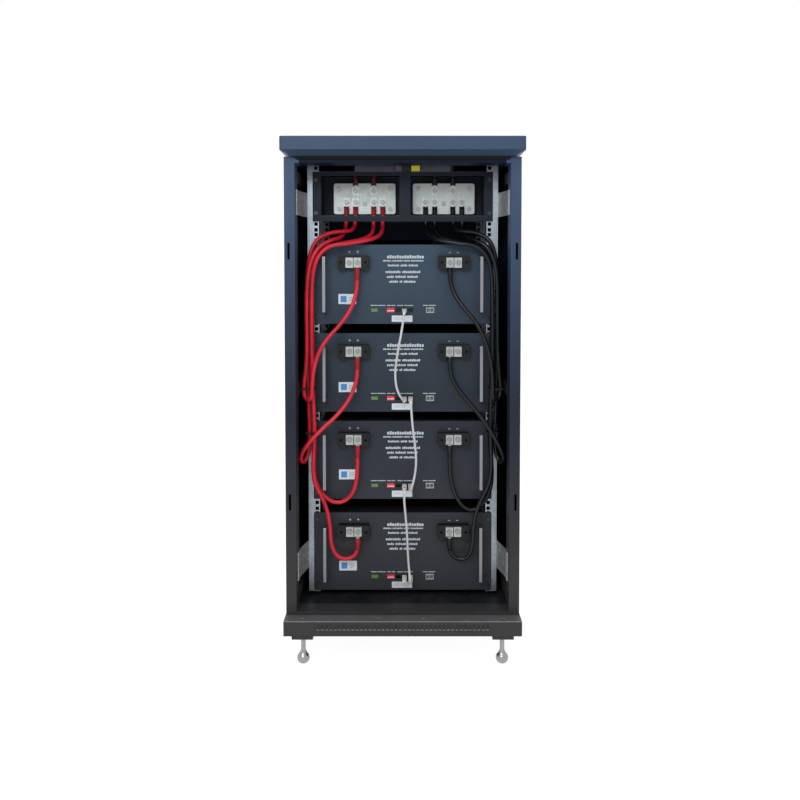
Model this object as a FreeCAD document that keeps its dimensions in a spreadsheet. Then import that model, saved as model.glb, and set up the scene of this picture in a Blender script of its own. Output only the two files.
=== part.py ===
import FreeCAD, Part
import math
import os
import Sketcher

Vector = FreeCAD.Vector
doc = FreeCAD.newDocument("battery_rack_cabinet")


# ---------------------------------------------------------------- the sheet

SIZES = {
    # cabinet, outside
    "cabinet_width": 600.0,
    "cabinet_depth": 600.0,
    "cap_width": 612.0,
    "base_width": 604.0,
    "pad_bottom": 69.0,
    "base_bottom": 78.0,
    "base_top": 116.0,
    "post_top": 1290.0,
    "cap_face_bottom": 1302.0,
    "cap_top": 1336.0,
    "cap_taper": 24.0,
    "post_setback": 37.0,
    "post_face": 27.0,
    "post_depth": 50.0,
    "sheet_metal": 1.5,
    "plate_metal": 2.0,
    # 19 inch rack grid
    "rack_unit": 44.45,
    "rack_height": 26.0,
    "rail_bottom": 128.0,
    "rail_setback": 119.0,
    "rail_opening": 450.0,
    "rail_face": 30.5,
    "rail_side": 40.0,
    "hole_spacing": 465.1,
    "hole_side": 9.5,
    "panel_width": 482.6,
    # battery module
    "module_height": 213.0,
    "module_slot_spacing": 177.8,
    "front_thickness": 3.0,
    "case_width": 440.0,
    "case_height": 208.0,
    "case_depth": 394.0,
    "handle_spacing": 418.0,
    "handle_length": 150.0,
    "handle_reach": 34.0,
    "handle_bar": 7.5,
    "terminal_width": 84.0,
    "terminal_height": 38.0,
    "terminal_depth": 19.0,
    "terminal_rise": 58.5,
    "terminal_left": -132.0,
    "terminal_right": 137.0,
    "stud_spacing": 22.0,
    "port_drop": 69.5,
    # busbar drawer
    "tray_height": 132.5,
    "tray_middle": 1201.15,
    "tray_depth": 90.0,
    "busbar_length": 170.0,
    "busbar_height": 84.0,
    "busbar_thickness": 6.0,
    "busbar_left": -105.0,
    "busbar_right": 113.0,
    "insulator_length": 20.0,
    # leads and feet
    "lead_radius": 5.5,
    "comm_radius": 3.0,
    "stud_radius": 6.0,
    "foot_radius": 16.0,
    "foot_x": 254.5,
    "foot_y": 276.0,
}

# The four module centres, each on the hole grid of the rails.
MODULE_MIDDLES = {
    "middle_one": 966.2,
    "middle_two": 728.1,
    "middle_three": 489.95,
    "middle_four": 239.1,
}
SIZES.update(MODULE_MIDDLES)

sheet = doc.addObject("Spreadsheet::Sheet", "Size")
for row, (alias, number) in enumerate(SIZES.items(), start=1):
    sheet.set(f"A{row}", alias)
    sheet.set(f"B{row}", str(number))
    sheet.setAlias(f"B{row}", alias)
doc.recompute()


class Dim:
    """A number together with the sheet expression that gives it."""

    def __init__(self, text, value):
        self.text = text
        self.value = value

    def __float__(self):
        return self.value

    def __add__(self, other):
        other = as_dim(other)
        return Dim(f"({self.text} + {other.text})", self.value + other.value)

    def __sub__(self, other):
        other = as_dim(other)
        return Dim(f"({self.text} - {other.text})", self.value - other.value)

    def __mul__(self, other):
        other = as_dim(other)
        return Dim(f"({self.text} * {other.text})", self.value * other.value)

    def __truediv__(self, other):
        other = as_dim(other)
        return Dim(f"({self.text} / {other.text})", self.value / other.value)

    def __neg__(self):
        return Dim(f"(0 - {self.text})", -self.value)

    def __radd__(self, other):
        return as_dim(other) + self

    def __rsub__(self, other):
        return as_dim(other) - self

    def __rmul__(self, other):
        return as_dim(other) * self


def as_dim(number):
    if isinstance(number, Dim):
        return number
    return Dim(f"({float(number):.6g})", float(number))


def size(alias):
    return Dim(f"Size.{alias}", SIZES[alias])


def bind(thing, prop, number):
    thing.setExpression(prop, as_dim(number).text)


# ---------------------------------------------------------------- small tools

NODES = []
AXIS_TURNS = {
    "x": FreeCAD.Rotation(Vector(0, 1, 0), 90),
    "y": FreeCAD.Rotation(Vector(1, 0, 0), -90),
    "z": FreeCAD.Rotation(),
}


def node(thing, label):
    """Name a finished piece: its label is its file's name."""
    thing.Label = label
    NODES.append(thing)
    return thing


def box(x, y, z):
    """A block between three (low, high) pairs."""
    block = doc.addObject("Part::Box", "block")
    for side, letter, (low, high) in zip(("Length", "Width", "Height"), "xyz", (x, y, z)):
        bind(block, side, as_dim(high) - low)
        bind(block, f"Placement.Base.{letter}", low)
    return block


def place(thing, axis, point):
    thing.Placement = FreeCAD.Placement(Vector(), AXIS_TURNS[axis])
    for letter, number in zip("xyz", point):
        bind(thing, f"Placement.Base.{letter}", number)
    return thing


def rod(axis, start, length, radius):
    """A cylinder from start along an axis."""
    piece = doc.addObject("Part::Cylinder", "rod")
    bind(piece, "Radius", radius)
    bind(piece, "Height", length)
    return place(piece, axis, start)


def hexagon(axis, start, length, corner_radius):
    """A hexagonal head or nut from start along an axis."""
    piece = doc.addObject("Part::Prism", "hexagon")
    piece.Polygon = 6
    bind(piece, "Circumradius", corner_radius)
    bind(piece, "Height", length)
    return place(piece, axis, start)


def fuse(pieces):
    whole = doc.addObject("Part::MultiFuse", "fusion")
    whole.Shapes = pieces
    return whole


def cut(body, tools):
    result = doc.addObject("Part::Cut", "cutout")
    result.Base = body
    result.Tool = tools[0] if len(tools) == 1 else fuse(tools)
    return result


def group(pieces, label):
    """Several separate solids of one kind in one node."""
    bundle = doc.addObject("Part::Compound", "group")
    bundle.Links = pieces
    return node(bundle, label)


def tube(x, y, z, wall, axis):
    """A rectangular hollow section that runs along one axis."""
    spans = {"x": x, "y": y, "z": z}
    inner = {}
    for letter, (low, high) in spans.items():
        if letter == axis:
            inner[letter] = (low, high)
        else:
            inner[letter] = (as_dim(low) + wall, as_dim(high) - wall)
    return cut(box(x, y, z), [box(inner["x"], inner["y"], inner["z"])])


def fillet(base, radius, picks):
    """Round the edges that picks(edge) chooses."""
    doc.recompute()
    chosen = [i for i, edge in enumerate(base.Shape.Edges, start=1) if picks(edge)]
    rounded = doc.addObject("Part::Fillet", "rounded")
    rounded.Base = base
    rounded.Edges = [(i, radius, radius) for i in chosen]
    return rounded


def runs_along(edge, letter):
    box_size = edge.BoundBox
    spans = {"x": box_size.XLength, "y": box_size.YLength, "z": box_size.ZLength}
    return all(span < 1e-6 for name, span in spans.items() if name != letter)


def origin_plane(body, role):
    for feature in body.Origin.OriginFeatures:
        if feature.Role == role:
            return feature
    raise ValueError(role)


def new_sketch(body, role, offset=0):
    sketch = body.newObject("Sketcher::SketchObject", "outline")
    sketch.AttachmentSupport = [(origin_plane(body, role), "")]
    sketch.MapMode = "FlatFace"
    bind(sketch, "AttachmentOffset.Base.z", offset)
    return sketch


def draw_rectangle(sketch, across, along):
    """A rectangle whose corner and sides are bound to the sheet."""
    (x_low, x_high), (y_low, y_high) = across, along
    corners = [
        Vector(float(x_low), float(y_low), 0),
        Vector(float(x_high), float(y_low), 0),
        Vector(float(x_high), float(y_high), 0),
        Vector(float(x_low), float(y_high), 0),
    ]
    first = sketch.GeometryCount
    for i in range(4):
        sketch.addGeometry(Part.LineSegment(corners[i], corners[(i + 1) % 4]), False)
    for i in range(4):
        sketch.addConstraint(Sketcher.Constraint("Coincident", first + i, 2, first + (i + 1) % 4, 1))
    sketch.addConstraint(Sketcher.Constraint("Horizontal", first))
    sketch.addConstraint(Sketcher.Constraint("Horizontal", first + 2))
    sketch.addConstraint(Sketcher.Constraint("Vertical", first + 1))
    sketch.addConstraint(Sketcher.Constraint("Vertical", first + 3))
    bindings = [
        (("DistanceX", first, 1, first, 2), as_dim(x_high) - x_low),
        (("DistanceY", first + 1, 1, first + 1, 2), as_dim(y_high) - y_low),
        (("DistanceX", -1, 1, first, 1), as_dim(x_low)),
        (("DistanceY", -1, 1, first, 1), as_dim(y_low)),
    ]
    for picks, number in bindings:
        index = sketch.addConstraint(Sketcher.Constraint(*picks, float(number)))
        bind(sketch, f"Constraints[{index}]", number)


def pad(body, sketch, length, reverse=False):
    feature = body.newObject("PartDesign::Pad", "pad")
    feature.Profile = sketch
    feature.Reversed = reverse
    bind(feature, "Length", length)
    doc.recompute()
    return feature


def pocket(body, sketch, length, reverse=False):
    """A pocket that is checked to have cut something."""
    before = body.Shape.Volume
    feature = body.newObject("PartDesign::Pocket", "pocket")
    feature.Profile = sketch
    feature.Reversed = reverse
    bind(feature, "Length", length)
    doc.recompute()
    if body.Shape.Volume > before - 1:
        raise RuntimeError("a pocket cut nothing")
    return feature


def repeat(body, feature, sketch, axis, step, count):
    """Repeat a feature along one of its sketch's axes."""
    pattern = body.newObject("PartDesign::LinearPattern", "row")
    pattern.Originals = [feature]
    pattern.Direction = (sketch, [axis])
    bind(pattern, "Length", as_dim(step) * (count - 1))
    pattern.Occurrences = count
    body.Tip = pattern
    doc.recompute()
    return pattern


# ---------------------------------------------------------------- shared places

SIDES = (-1, 1)
half_width = size("cabinet_width") / 2
half_depth = size("cabinet_depth") / 2
metal = size("sheet_metal")
plate = size("plate_metal")
post_front = size("post_setback") - half_depth
post_back = post_front + size("post_depth")
post_inside = half_width - size("post_face")
rail_front = post_front + size("rail_setback")
rail_edge = size("rail_opening") / 2
rail_outside = rail_edge + size("rail_face")
rail_top = size("rail_bottom") + size("rack_unit") * size("rack_height")
front_face = rail_front - size("front_thickness")
MIDDLES = [size(name) for name in MODULE_MIDDLES]
FOOT_CORNERS = {
    "front_left": (-1, -1),
    "front_right": (1, -1),
    "rear_left": (-1, 1),
    "rear_right": (1, 1),
}
gap = 0.4


def span(side, near, far):
    """The (low, high) pair of a stretch that is mirrored to one side."""
    if side > 0:
        return near, far
    return -as_dim(far), -as_dim(near)


# ---------------------------------------------------------------- cabinet shell

def make_base_plinth():
    """Folded plinth: four skirts, a top ledge and a row of air slots."""
    half_base = size("base_width") / 2
    low, high = size("base_bottom"), size("base_top")
    outside = box((-half_base, half_base), (-half_depth, half_depth), (low, high))
    hollow = box((-half_base + plate, half_base - plate),
                 (-half_depth + plate, half_depth - plate), (low - 1, high - plate))
    opening = box((-post_inside + 33, post_inside - 33), (post_front + 70, -post_front - 70),
                  (high - 5, high + 1))
    slots = []
    slot_count, slot_pitch, slot_width = 40, 11.0, 6.0
    for i in range(slot_count):
        start = (i - (slot_count - 1) / 2) * slot_pitch - slot_width / 2
        slots.append(box((start, start + slot_width), (-half_depth - 1, -half_depth + plate + 1),
                         (high - 21, high - 9)))
    for x in (-256.0, -62.0, 50.0, 256.0):
        slots.append(rod("z", (x, post_front - 22, high - plate - 1), plate + 2, 4.0))
    return node(cut(outside, [hollow, opening] + slots), "base_plinth")


def make_foot_brackets():
    """Pads under the plinth's corners for the feet, each with its locknut."""
    pads = []
    for side, end in FOOT_CORNERS.values():
        x, y = size("foot_x") * side, size("foot_y") * end
        block = box((x - 27, x + 27), (y - 23, y + 23), (size("pad_bottom"), size("base_bottom")))
        bore = rod("z", (x, y, size("pad_bottom") - 1), 12, size("stud_radius") + 0.05)
        nut = hexagon("z", (x, y, size("base_bottom")), 7, 10.4)
        nut_bore = rod("z", (x, y, size("base_bottom") - 1), 10, size("stud_radius") + 0.05)
        pads += [cut(block, [bore]), cut(nut, [nut_bore])]
    return group(pads, "foot_brackets")


def make_foot(corner):
    """A turned foot: a rounded bulb that flares into a threaded stud."""
    side, end = FOOT_CORNERS[corner]
    bulb, stud = SIZES["foot_radius"], SIZES["stud_radius"]
    body = doc.addObject("PartDesign::Body", "foot")
    sketch = new_sketch(body, "XZ_Plane")
    bottom_flat, bulb_top, neck_top, stud_top = 9.0, 26.0, 37.0, 104.0
    axis_low, axis_high = Vector(0, 0, 0), Vector(0, stud_top, 0)
    lower_start = Vector(bottom_flat, 0, 0)
    bulge_mid = Vector(bulb, 12.5, 0)
    bulge_end = Vector(bulb - 3.5, bulb_top - 4, 0)
    neck_mid = Vector(stud + 2.2, bulb_top + 2.5, 0)
    neck_end = Vector(stud, neck_top, 0)
    stud_end = Vector(stud, stud_top, 0)
    outline = [
        Part.LineSegment(axis_low, lower_start),
        Part.Arc(lower_start, bulge_mid, bulge_end),
        Part.Arc(bulge_end, neck_mid, neck_end),
        Part.LineSegment(neck_end, stud_end),
        Part.LineSegment(stud_end, axis_high),
        Part.LineSegment(axis_high, axis_low),
    ]
    sketch.addGeometry(outline, False)
    turned = body.newObject("PartDesign::Revolution", "turned")
    turned.Profile = sketch
    turned.ReferenceAxis = (sketch, ["V_Axis"])
    turned.Angle = 360
    bind(body, "Placement.Base.x", size("foot_x") * side)
    bind(body, "Placement.Base.y", size("foot_y") * end)
    return node(body, f"foot_{corner}")


def make_top_cover():
    """Hollow cap: a flat top, upright edges and an inward taper below."""
    half_cap, taper = size("cap_width") / 2, size("cap_taper")
    low, middle, high = size("post_top"), size("cap_face_bottom"), size("cap_top")
    upper = box((-half_cap, half_cap), (-half_depth, half_depth), (middle, high))
    upper = fillet(upper, 7.0, lambda edge: runs_along(edge, "z"))
    top_height = SIZES["cap_top"]
    upper = fillet(upper, 2.5, lambda edge: edge.BoundBox.ZMin > top_height - 0.01)
    lower = doc.addObject("Part::Wedge", "taper")
    lower.Placement = FreeCAD.Placement(Vector(), FreeCAD.Rotation(Vector(1, 0, 0), 90))
    bind(lower, "Placement.Base.z", 0)
    settings = {
        "Xmin": taper - half_cap, "Xmax": half_cap - taper,
        "Zmin": taper - half_depth, "Zmax": half_depth - taper,
        "X2min": 2 - half_cap, "X2max": half_cap - 2,
        "Z2min": 2 - half_depth, "Z2max": half_depth - 2,
        "Ymin": low, "Ymax": middle,
    }
    for prop, number in settings.items():
        bind(lower, prop, number)
    inside = box((taper - half_cap + 4, half_cap - taper - 4),
                 (taper - half_depth + 4, half_depth - taper - 4), (low - 1, high - plate))
    return node(cut(fuse([upper, lower]), [inside]), "top_cover")


def make_end_frame(label, y_front, y_back, slots):
    """Two hollow posts joined by a bar at the top and one at the bottom."""
    low, high = size("base_top"), size("post_top")
    slot_length, sill, lintel = 42.0, 8.0, 16.0
    parts = []
    for side in SIDES:
        post = tube(span(side, post_inside, half_width), (y_front, y_back), (low, high), plate, "z")
        cuts = []
        for z in slots:
            cuts.append(box(span(side, half_width - 14, half_width - 8),
                            (y_front - 1, y_front + plate + 1), (z, z + slot_length)))
        parts.append(cut(post, cuts) if cuts else post)
    for z_low, z_high in ((low, low + sill), (high - lintel, high)):
        parts.append(box((-post_inside, post_inside), (y_front, y_back), (z_low, z_high)))
    return node(fuse(parts), label)


def make_floor_panel():
    y_low, y_high = post_back + gap, -post_back - gap
    z = size("base_top")
    floor = box((-post_inside - 20, post_inside + 20), (y_low, y_high), (z, z + metal))
    cable_hole = box((-100, 100), (120, 190), (z - 1, z + metal + 1))
    return node(cut(floor, [cable_hole]), "floor_panel")


def make_side_members():
    """Hollow cross members that tie the front posts to the rear posts."""
    bars = []
    bar_height = 30.0
    for side in SIDES:
        for z in (size("base_top") + 20, size("base_top") + 560, size("post_top") - 60):
            bars.append(tube(span(side, post_inside, half_width - 4), (post_back, -post_back),
                             (z, z + bar_height), metal, "y"))
    return bars


def make_side_panel(side, label):
    """A lift-off sheet panel with two quarter-turn latches."""
    y_low, y_high = post_back + gap, -post_back - gap
    z_low, z_high = size("base_top") + 1, size("post_top") - 1
    sheet_wall = box(span(side, half_width - metal - 0.6, half_width - 0.6), (y_low, y_high),
                     (z_low, z_high))
    pieces = [sheet_wall]
    latch_radius = 11.0
    for y in (-120, 120):
        x = half_width - 0.6 if side > 0 else -half_width - 1.4
        pieces.append(rod("x", (x, y, z_high - 45), 2.0, latch_radius))
    return node(fuse(pieces), label)


DOOR_DEPTH = 18.0
door_edge = half_width - 6
door_inner = -post_front + 1
door_outer = door_inner + DOOR_DEPTH
hinge_x = -door_edge - 3
hinge_y = door_outer + 3
HINGE_LEVELS = (220.0, 680.0, 1140.0)
HINGE_LENGTH, HINGE_RADIUS = 36.0, 4.1
handle_x = half_width - 40
HANDLE_LEVEL = 700.0


def make_rear_door():
    """A plain sheet door folded back at its edges, with hinge straps on its outer face."""
    z_low, z_high = size("base_top") + 4, size("post_top") - 4
    outside = box((-door_edge, door_edge), (door_inner, door_outer), (z_low, z_high))
    inside = box((metal - door_edge, door_edge - metal), (door_inner - 1, door_outer - metal),
                 (z_low + metal, z_high - metal))
    cuts = [inside]
    slot_rows, slot_pitch, slot_half = 14, 16.0, 90.0
    for centre in (420.0, 990.0):
        for i in range(slot_rows):
            z = centre + (i - (slot_rows - 1) / 2) * slot_pitch
            cuts.append(box((-slot_half, slot_half), (door_outer - 8, door_outer + 2),
                            (z - 2.5, z + 2.5)))
    door = cut(outside, cuts)
    straps = []
    for z in HINGE_LEVELS:
        straps.append(rod("z", (hinge_x, hinge_y, z), HINGE_LENGTH, HINGE_RADIUS))
        straps.append(box((hinge_x, hinge_x + 35), (door_outer, door_outer + 2),
                          (z, z + HINGE_LENGTH)))
    bores = [rod("z", (hinge_x, hinge_y, z - 1), HINGE_LENGTH + 2, 2.45) for z in HINGE_LEVELS]
    spindle = rod("y", (handle_x, door_inner + 10, HANDLE_LEVEL), 12, 6.05)
    return node(cut(fuse([door] + straps), bores + [spindle]), "rear_door")


def make_rear_hinge_pins():
    """Pins, each with the arm that holds it on the rear frame."""
    pieces = []
    arm_height = 12.0
    for z in HINGE_LEVELS:
        low, high = z - 0.4 - arm_height, z - 0.4
        pin = rod("z", (hinge_x, hinge_y, high), HINGE_LENGTH + 3, 2.4)
        head = rod("z", (hinge_x, hinge_y, low), arm_height, HINGE_RADIUS)
        arm = box((hinge_x - HINGE_RADIUS, hinge_x + 2), (-post_front, hinge_y), (low, high))
        pieces.append(fuse([pin, head, arm]))
    return group(pieces, "rear_hinge_pins")


def make_rear_door_handle():
    """A quarter-turn lever on a spindle, with a short cam inside."""
    spindle = rod("y", (handle_x, door_inner + 4, HANDLE_LEVEL), 22, 6.0)
    lever = box((handle_x - 9, handle_x + 9), (door_outer + 2, door_outer + 10),
                (HANDLE_LEVEL - 95, HANDLE_LEVEL + 12))
    cam = box((handle_x - 7, handle_x + 7), (door_inner + 4, door_inner + 7),
              (HANDLE_LEVEL - 26, HANDLE_LEVEL + 7))
    return node(fuse([spindle, lever, cam]), "rear_door_handle")


# ---------------------------------------------------------------- rack rails

def make_rail(side, end):
    """One folded rail with three square holes in every rack unit."""
    body = doc.addObject("PartDesign::Body", "rail")
    low = size("rail_bottom")
    height = size("rack_unit") * size("rack_height")
    face_x = span(side, rail_edge, rail_outside)
    side_x = span(side, rail_outside - plate, rail_outside)
    if end < 0:
        face_y = (rail_front, rail_front + plate)
        side_y = (rail_front, rail_front + size("rail_side"))
    else:
        face_y = (-rail_front - plate, -rail_front)
        side_y = (-rail_front - size("rail_side"), -rail_front)
    for x, y in ((face_x, face_y), (side_x, side_y)):
        sketch = new_sketch(body, "XY_Plane", low)
        draw_rectangle(sketch, x, y)
        pad(body, sketch, height)
    hole_sketch = new_sketch(body, "XZ_Plane", rail_front * end + 10)
    half_hole = size("hole_side") / 2
    centre = size("hole_spacing") / 2 * side
    for level in (6.35, 22.225, 38.1):
        draw_rectangle(hole_sketch, (centre - half_hole, centre + half_hole),
                       (low + level - half_hole, low + level + half_hole))
    holes = pocket(body, hole_sketch, 30)
    repeat(body, holes, hole_sketch, "V_Axis", size("rack_unit"), int(SIZES["rack_height"]))
    return body


def make_rail_bracket(side, end, z_low, z_high):
    """A cranked plate from the back of a post to the side of a rail."""
    post_y, rail_y = float(post_back), float(rail_front)
    near_x, far_x = float(post_inside) - 0.1, float(rail_outside)
    outline_points = [
        (near_x, post_y - 26), (near_x, post_y + 2), (far_x + 2.5, rail_y - 2),
        (far_x + 2.5, rail_y + 34), (far_x, rail_y + 34), (far_x, rail_y - 3),
        (near_x - 2.5, post_y + 1), (near_x - 2.5, post_y - 26),
    ]
    corners = [Vector(x * side, y * -end, z_low) for x, y in outline_points]
    wire = Part.makePolygon(corners + corners[:1])
    bracket = doc.addObject("Part::Feature", "bracket")
    bracket.Shape = Part.Face(wire).extrude(Vector(0, 0, z_high - z_low))
    return bracket


def make_rail_carriers():
    """Side members and the cranked brackets that hold the rails."""
    pieces = make_side_members()
    for side in SIDES:
        for end in SIDES:
            for z_low, z_high in ((195.0, 269.0), (1146.0, 1210.0)):
                pieces.append(make_rail_bracket(side, end, z_low, z_high))
    return group(pieces, "rail_carriers")


def make_support_angles():
    """Angles from front rail to rear rail that carry the modules."""
    pieces = []
    under = size("case_height") / 2 + 0.5
    for middle in MIDDLES:
        z = middle - under
        for side in SIDES:
            shelf = box(span(side, 196, 224), (rail_front + plate, -rail_front - plate),
                        (z - plate, z))
            wall = box(span(side, 222, 224), (rail_front + plate, -rail_front - plate),
                       (z - plate, z + 26))
            pieces.append(fuse([shelf, wall]))
    return group(pieces, "support_angles")


# ---------------------------------------------------------------- battery modules

slot_x = size("hole_spacing") / 2
slot_z = size("module_slot_spacing") / 2
NUMBERS = ("one", "two", "three", "four")
PORT_SPOTS = (-12.0, 4.5, 21.0)
PLUGGED = {0: (4.5,), 1: (4.5, 21.0), 2: (4.5, 21.0), 3: (4.5, 21.0)}
terminal_spots = (size("terminal_left"), size("terminal_right"))
terminal_face = front_face - size("terminal_depth")
pad_face = terminal_face + 5
palm_face = pad_face - 3
lug_offset = 3.3
lead_plane = palm_face - lug_offset
plug_tip = front_face - 34
# The port row: each window's ends across the front, and half its height.
DISPLAY_SPAN, DISPLAY_HALF = (-85.0, -67.0), 4.5
SWITCH_SPAN, SWITCH_HALF = (-42.5, -22.5), 6.0
CONTACT_SPAN, CONTACT_HALF = (62.5, 84.5), 7.5
SOCKET_HALF_X, SOCKET_HALF_Z = 6.8, 6.6


def make_module_case(number, middle):
    """A folded box, open at the front where the front plate closes it."""
    half_x, half_z = size("case_width") / 2, size("case_height") / 2
    back = rail_front + size("case_depth")
    outside = box((-half_x, half_x), (rail_front, back), (middle - half_z, middle + half_z))
    inside = box((metal - half_x, half_x - metal), (rail_front - 1, back - metal),
                 (middle - half_z + metal, middle + half_z - metal))
    return node(cut(outside, [inside]), f"module_{number}_case")


def make_module_front(number, middle):
    """Front plate with ears, four screw holes and the windows of the port row."""
    half_x, half_z = size("panel_width") / 2, size("module_height") / 2
    front = box((-half_x, half_x), (front_face, rail_front), (middle - half_z, middle + half_z))
    front = fillet(front, 2.0, lambda edge: runs_along(edge, "y"))
    through = (front_face - 1, rail_front + 1)
    z = middle - size("port_drop")
    windows = []
    for x in PORT_SPOTS:
        windows.append(box((x - SOCKET_HALF_X, x + SOCKET_HALF_X), through,
                           (z - SOCKET_HALF_Z, z + SOCKET_HALF_Z)))
    for across, half in ((DISPLAY_SPAN, DISPLAY_HALF), (SWITCH_SPAN, SWITCH_HALF),
                         (CONTACT_SPAN, CONTACT_HALF)):
        windows.append(box(across, through, (z - half, z + half)))
    for side in SIDES:
        for end in SIDES:
            windows.append(rod("y", (slot_x * side, front_face - 1, middle + slot_z * end), 6, 3.4))
    return node(cut(front, windows), f"module_{number}_front")


def make_module_handles():
    """Two upright bar handles on every module."""
    bars = []
    half = size("handle_bar") / 2
    reach = front_face - size("handle_reach")
    for middle in MIDDLES:
        for side in SIDES:
            x = size("handle_spacing") / 2 * side
            low, high = middle - size("handle_length") / 2, middle + size("handle_length") / 2
            grip = box((x - half, x + half), (reach, reach + 7), (low, high))
            legs = [box((x - half, x + half), (reach, front_face), (z, z + 10))
                    for z in (low, high - 10)]
            bars.append(fillet(fuse([grip] + legs), 3.0, is_handle_corner(float(reach))))
    return group(bars, "module_handles")


def is_handle_corner(reach):
    def picks(edge):
        ends = edge.BoundBox
        return runs_along(edge, "x") and abs(ends.YMin - reach) < 0.01
    return picks


def make_terminal_blocks():
    """Insulating blocks with a recess, open below, for two studs."""
    blocks = []
    half_x, half_z = size("terminal_width") / 2, size("terminal_height") / 2
    for middle in MIDDLES:
        z = middle + size("terminal_rise")
        for x in terminal_spots:
            block = box((x - half_x, x + half_x), (terminal_face, front_face), (z - half_z, z + half_z))
            block = fillet(block, 2.5, lambda edge: runs_along(edge, "y"))
            half_recess = size("stud_spacing") / 2 + 11
            recess = box((x - half_recess, x + half_recess), (terminal_face - 1, terminal_face + 8),
                         (z - half_z - 1, z + 15))
            holes = [rod("y", (x + 33 * side, terminal_face - 1, z), 9, 3.5) for side in SIDES]
            for side in SIDES:
                stud_x = x + size("stud_spacing") / 2 * side
                holes.append(rod("y", (stud_x, terminal_face + 7, z), 9, 4.0))
            blocks.append(cut(block, [recess] + holes))
    return group(blocks, "terminal_blocks")


def each_stud():
    """Every module stud: its place and whether a lead is bolted to it."""
    for middle in MIDDLES:
        z = middle + size("terminal_rise")
        for x, inner_side in zip(terminal_spots, (1, -1)):
            for side in SIDES:
                yield x + size("stud_spacing") / 2 * side, z, side == inner_side


def make_terminal_pads():
    pads = []
    for x, z, _ in each_stud():
        block = box((x - 10, x + 10), (pad_face, pad_face + 3), (z - 14, z + 13))
        pads.append(cut(block, [rod("y", (x, pad_face - 1, z), 5, 4.0)]))
    return group(pads, "terminal_pads")


def make_power_bolts():
    """Hexagon bolts: sixteen on the modules, the rest on the busbars."""
    bolts = []
    for x, z, has_lead in each_stud():
        seat = palm_face if has_lead else pad_face
        head = hexagon("y", (x, seat - 5.3, z), 5.3, 7.5)
        shank = rod("y", (x, seat, z), terminal_face + 15 - seat, 4.0)
        bolts.append(fuse([head, shank]))
    for x, z, _ in each_busbar_lug():
        head = hexagon("y", (x, bar_face - 3 - 5.3, z), 5.3, 7.5)
        shank = rod("y", (x, bar_face - 3, z), 15, 4.0)
        bolts.append(fuse([head, shank]))
    for x, z in each_busbar_screw():
        head = rod("y", (x, bar_face - 3.2, z), 3.2, 6.0)
        shank = rod("y", (x, bar_face, z), 12, 3.0)
        bolts.append(fuse([head, shank]))
    return group(bolts, "power_bolts")


def make_comm_sockets():
    """Three data sockets and one dry contact socket on every module."""
    sockets = []
    for middle in MIDDLES:
        z = middle - size("port_drop")
        for x in PORT_SPOTS:
            shell = box((x - SOCKET_HALF_X, x + SOCKET_HALF_X), (front_face - 1.5, rail_front + 12),
                        (z - SOCKET_HALF_Z, z + SOCKET_HALF_Z))
            mouth = box((x - 5.9, x + 5.9), (front_face - 3, rail_front + 9), (z - 4.6, z + 4.6))
            sockets.append(cut(shell, [mouth]))
        shell = box(CONTACT_SPAN, (front_face - 3, rail_front + 12),
                    (z - CONTACT_HALF, z + CONTACT_HALF))
        mouths = [box((x - 4, x + 4), (front_face - 4, rail_front + 4), (z - 4.5, z + 4.5))
                  for x in (68.5, 78.5)]
        sockets.append(cut(shell, mouths))
    return group(sockets, "comm_sockets")


def make_comm_plugs():
    """Modular plugs with round boots, seated in the data sockets."""
    plugs = []
    for index, middle in enumerate(MIDDLES):
        z = middle - size("port_drop")
        for x in PLUGGED[index]:
            shell = box((x - 5.8, x + 5.8), (front_face - 24, rail_front + 4), (z - 4.5, z + 4.5))
            boot = rod("y", (x, plug_tip, z), 12, 4.3)
            plugs.append(fuse([shell, boot]))
    return group(plugs, "comm_plugs")


def make_address_switches():
    """Red switch blocks with a row of small white levers."""
    switches = []
    for middle in MIDDLES:
        z = middle - size("port_drop")
        block = box(SWITCH_SPAN, (front_face - 1.5, rail_front + 3),
                    (z - SWITCH_HALF, z + SWITCH_HALF))
        levers = []
        lever_count, lever_pitch, lever_width = 6, 3.1, 1.6
        for i in range(lever_count):
            x = SWITCH_SPAN[0] + 1.75 + i * lever_pitch
            levers.append(box((x, x + lever_width), (front_face - 2.6, front_face - 1.4), (z - 3, z)))
        switches.append(fuse([block] + levers))
    return group(switches, "address_switches")


def make_soc_displays():
    displays = []
    for middle in MIDDLES:
        z = middle - size("port_drop")
        displays.append(box(DISPLAY_SPAN, (front_face - 1.0, rail_front + 3),
                            (z - DISPLAY_HALF, z + DISPLAY_HALF)))
    return group(displays, "soc_displays")


def make_battery_cells():
    """Sixteen prismatic cells in every module, in two rows."""
    cells = []
    cell_pitch, cell_depth, cell_width, cell_height = 46.5, 45.5, 174.0, 133.0
    for middle in MIDDLES:
        floor = middle - size("case_height") / 2 + metal + 0.5
        for i in range(8):
            y = rail_front + 14 + i * cell_pitch
            for side in SIDES:
                cells.append(box(span(side, 1.0, 1.0 + cell_width), (y, y + cell_depth),
                                 (floor, floor + cell_height)))
    return group(cells, "battery_cells")


def make_bms_boards():
    boards = []
    for middle in MIDDLES:
        z = middle + 48
        boards.append(box((-150.0, 150.0), (rail_front + 20, rail_front + 180), (z, z + 1.6)))
    return group(boards, "bms_boards")


# ---------------------------------------------------------------- busbar drawer

tray_back = rail_front + size("tray_depth")
bar_back = tray_back - plate - size("insulator_length")
bar_face = bar_back - size("busbar_thickness")
bar_lead_plane = bar_face - 3 - lug_offset
LOWER_LUGS = (-50.0, -25.0, 25.0, 50.0)
UPPER_LUGS = (-25.0, 25.0)
lug_low = -9.0
lug_high = 22.0


def each_busbar():
    yield size("busbar_left")
    yield size("busbar_right")


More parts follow.
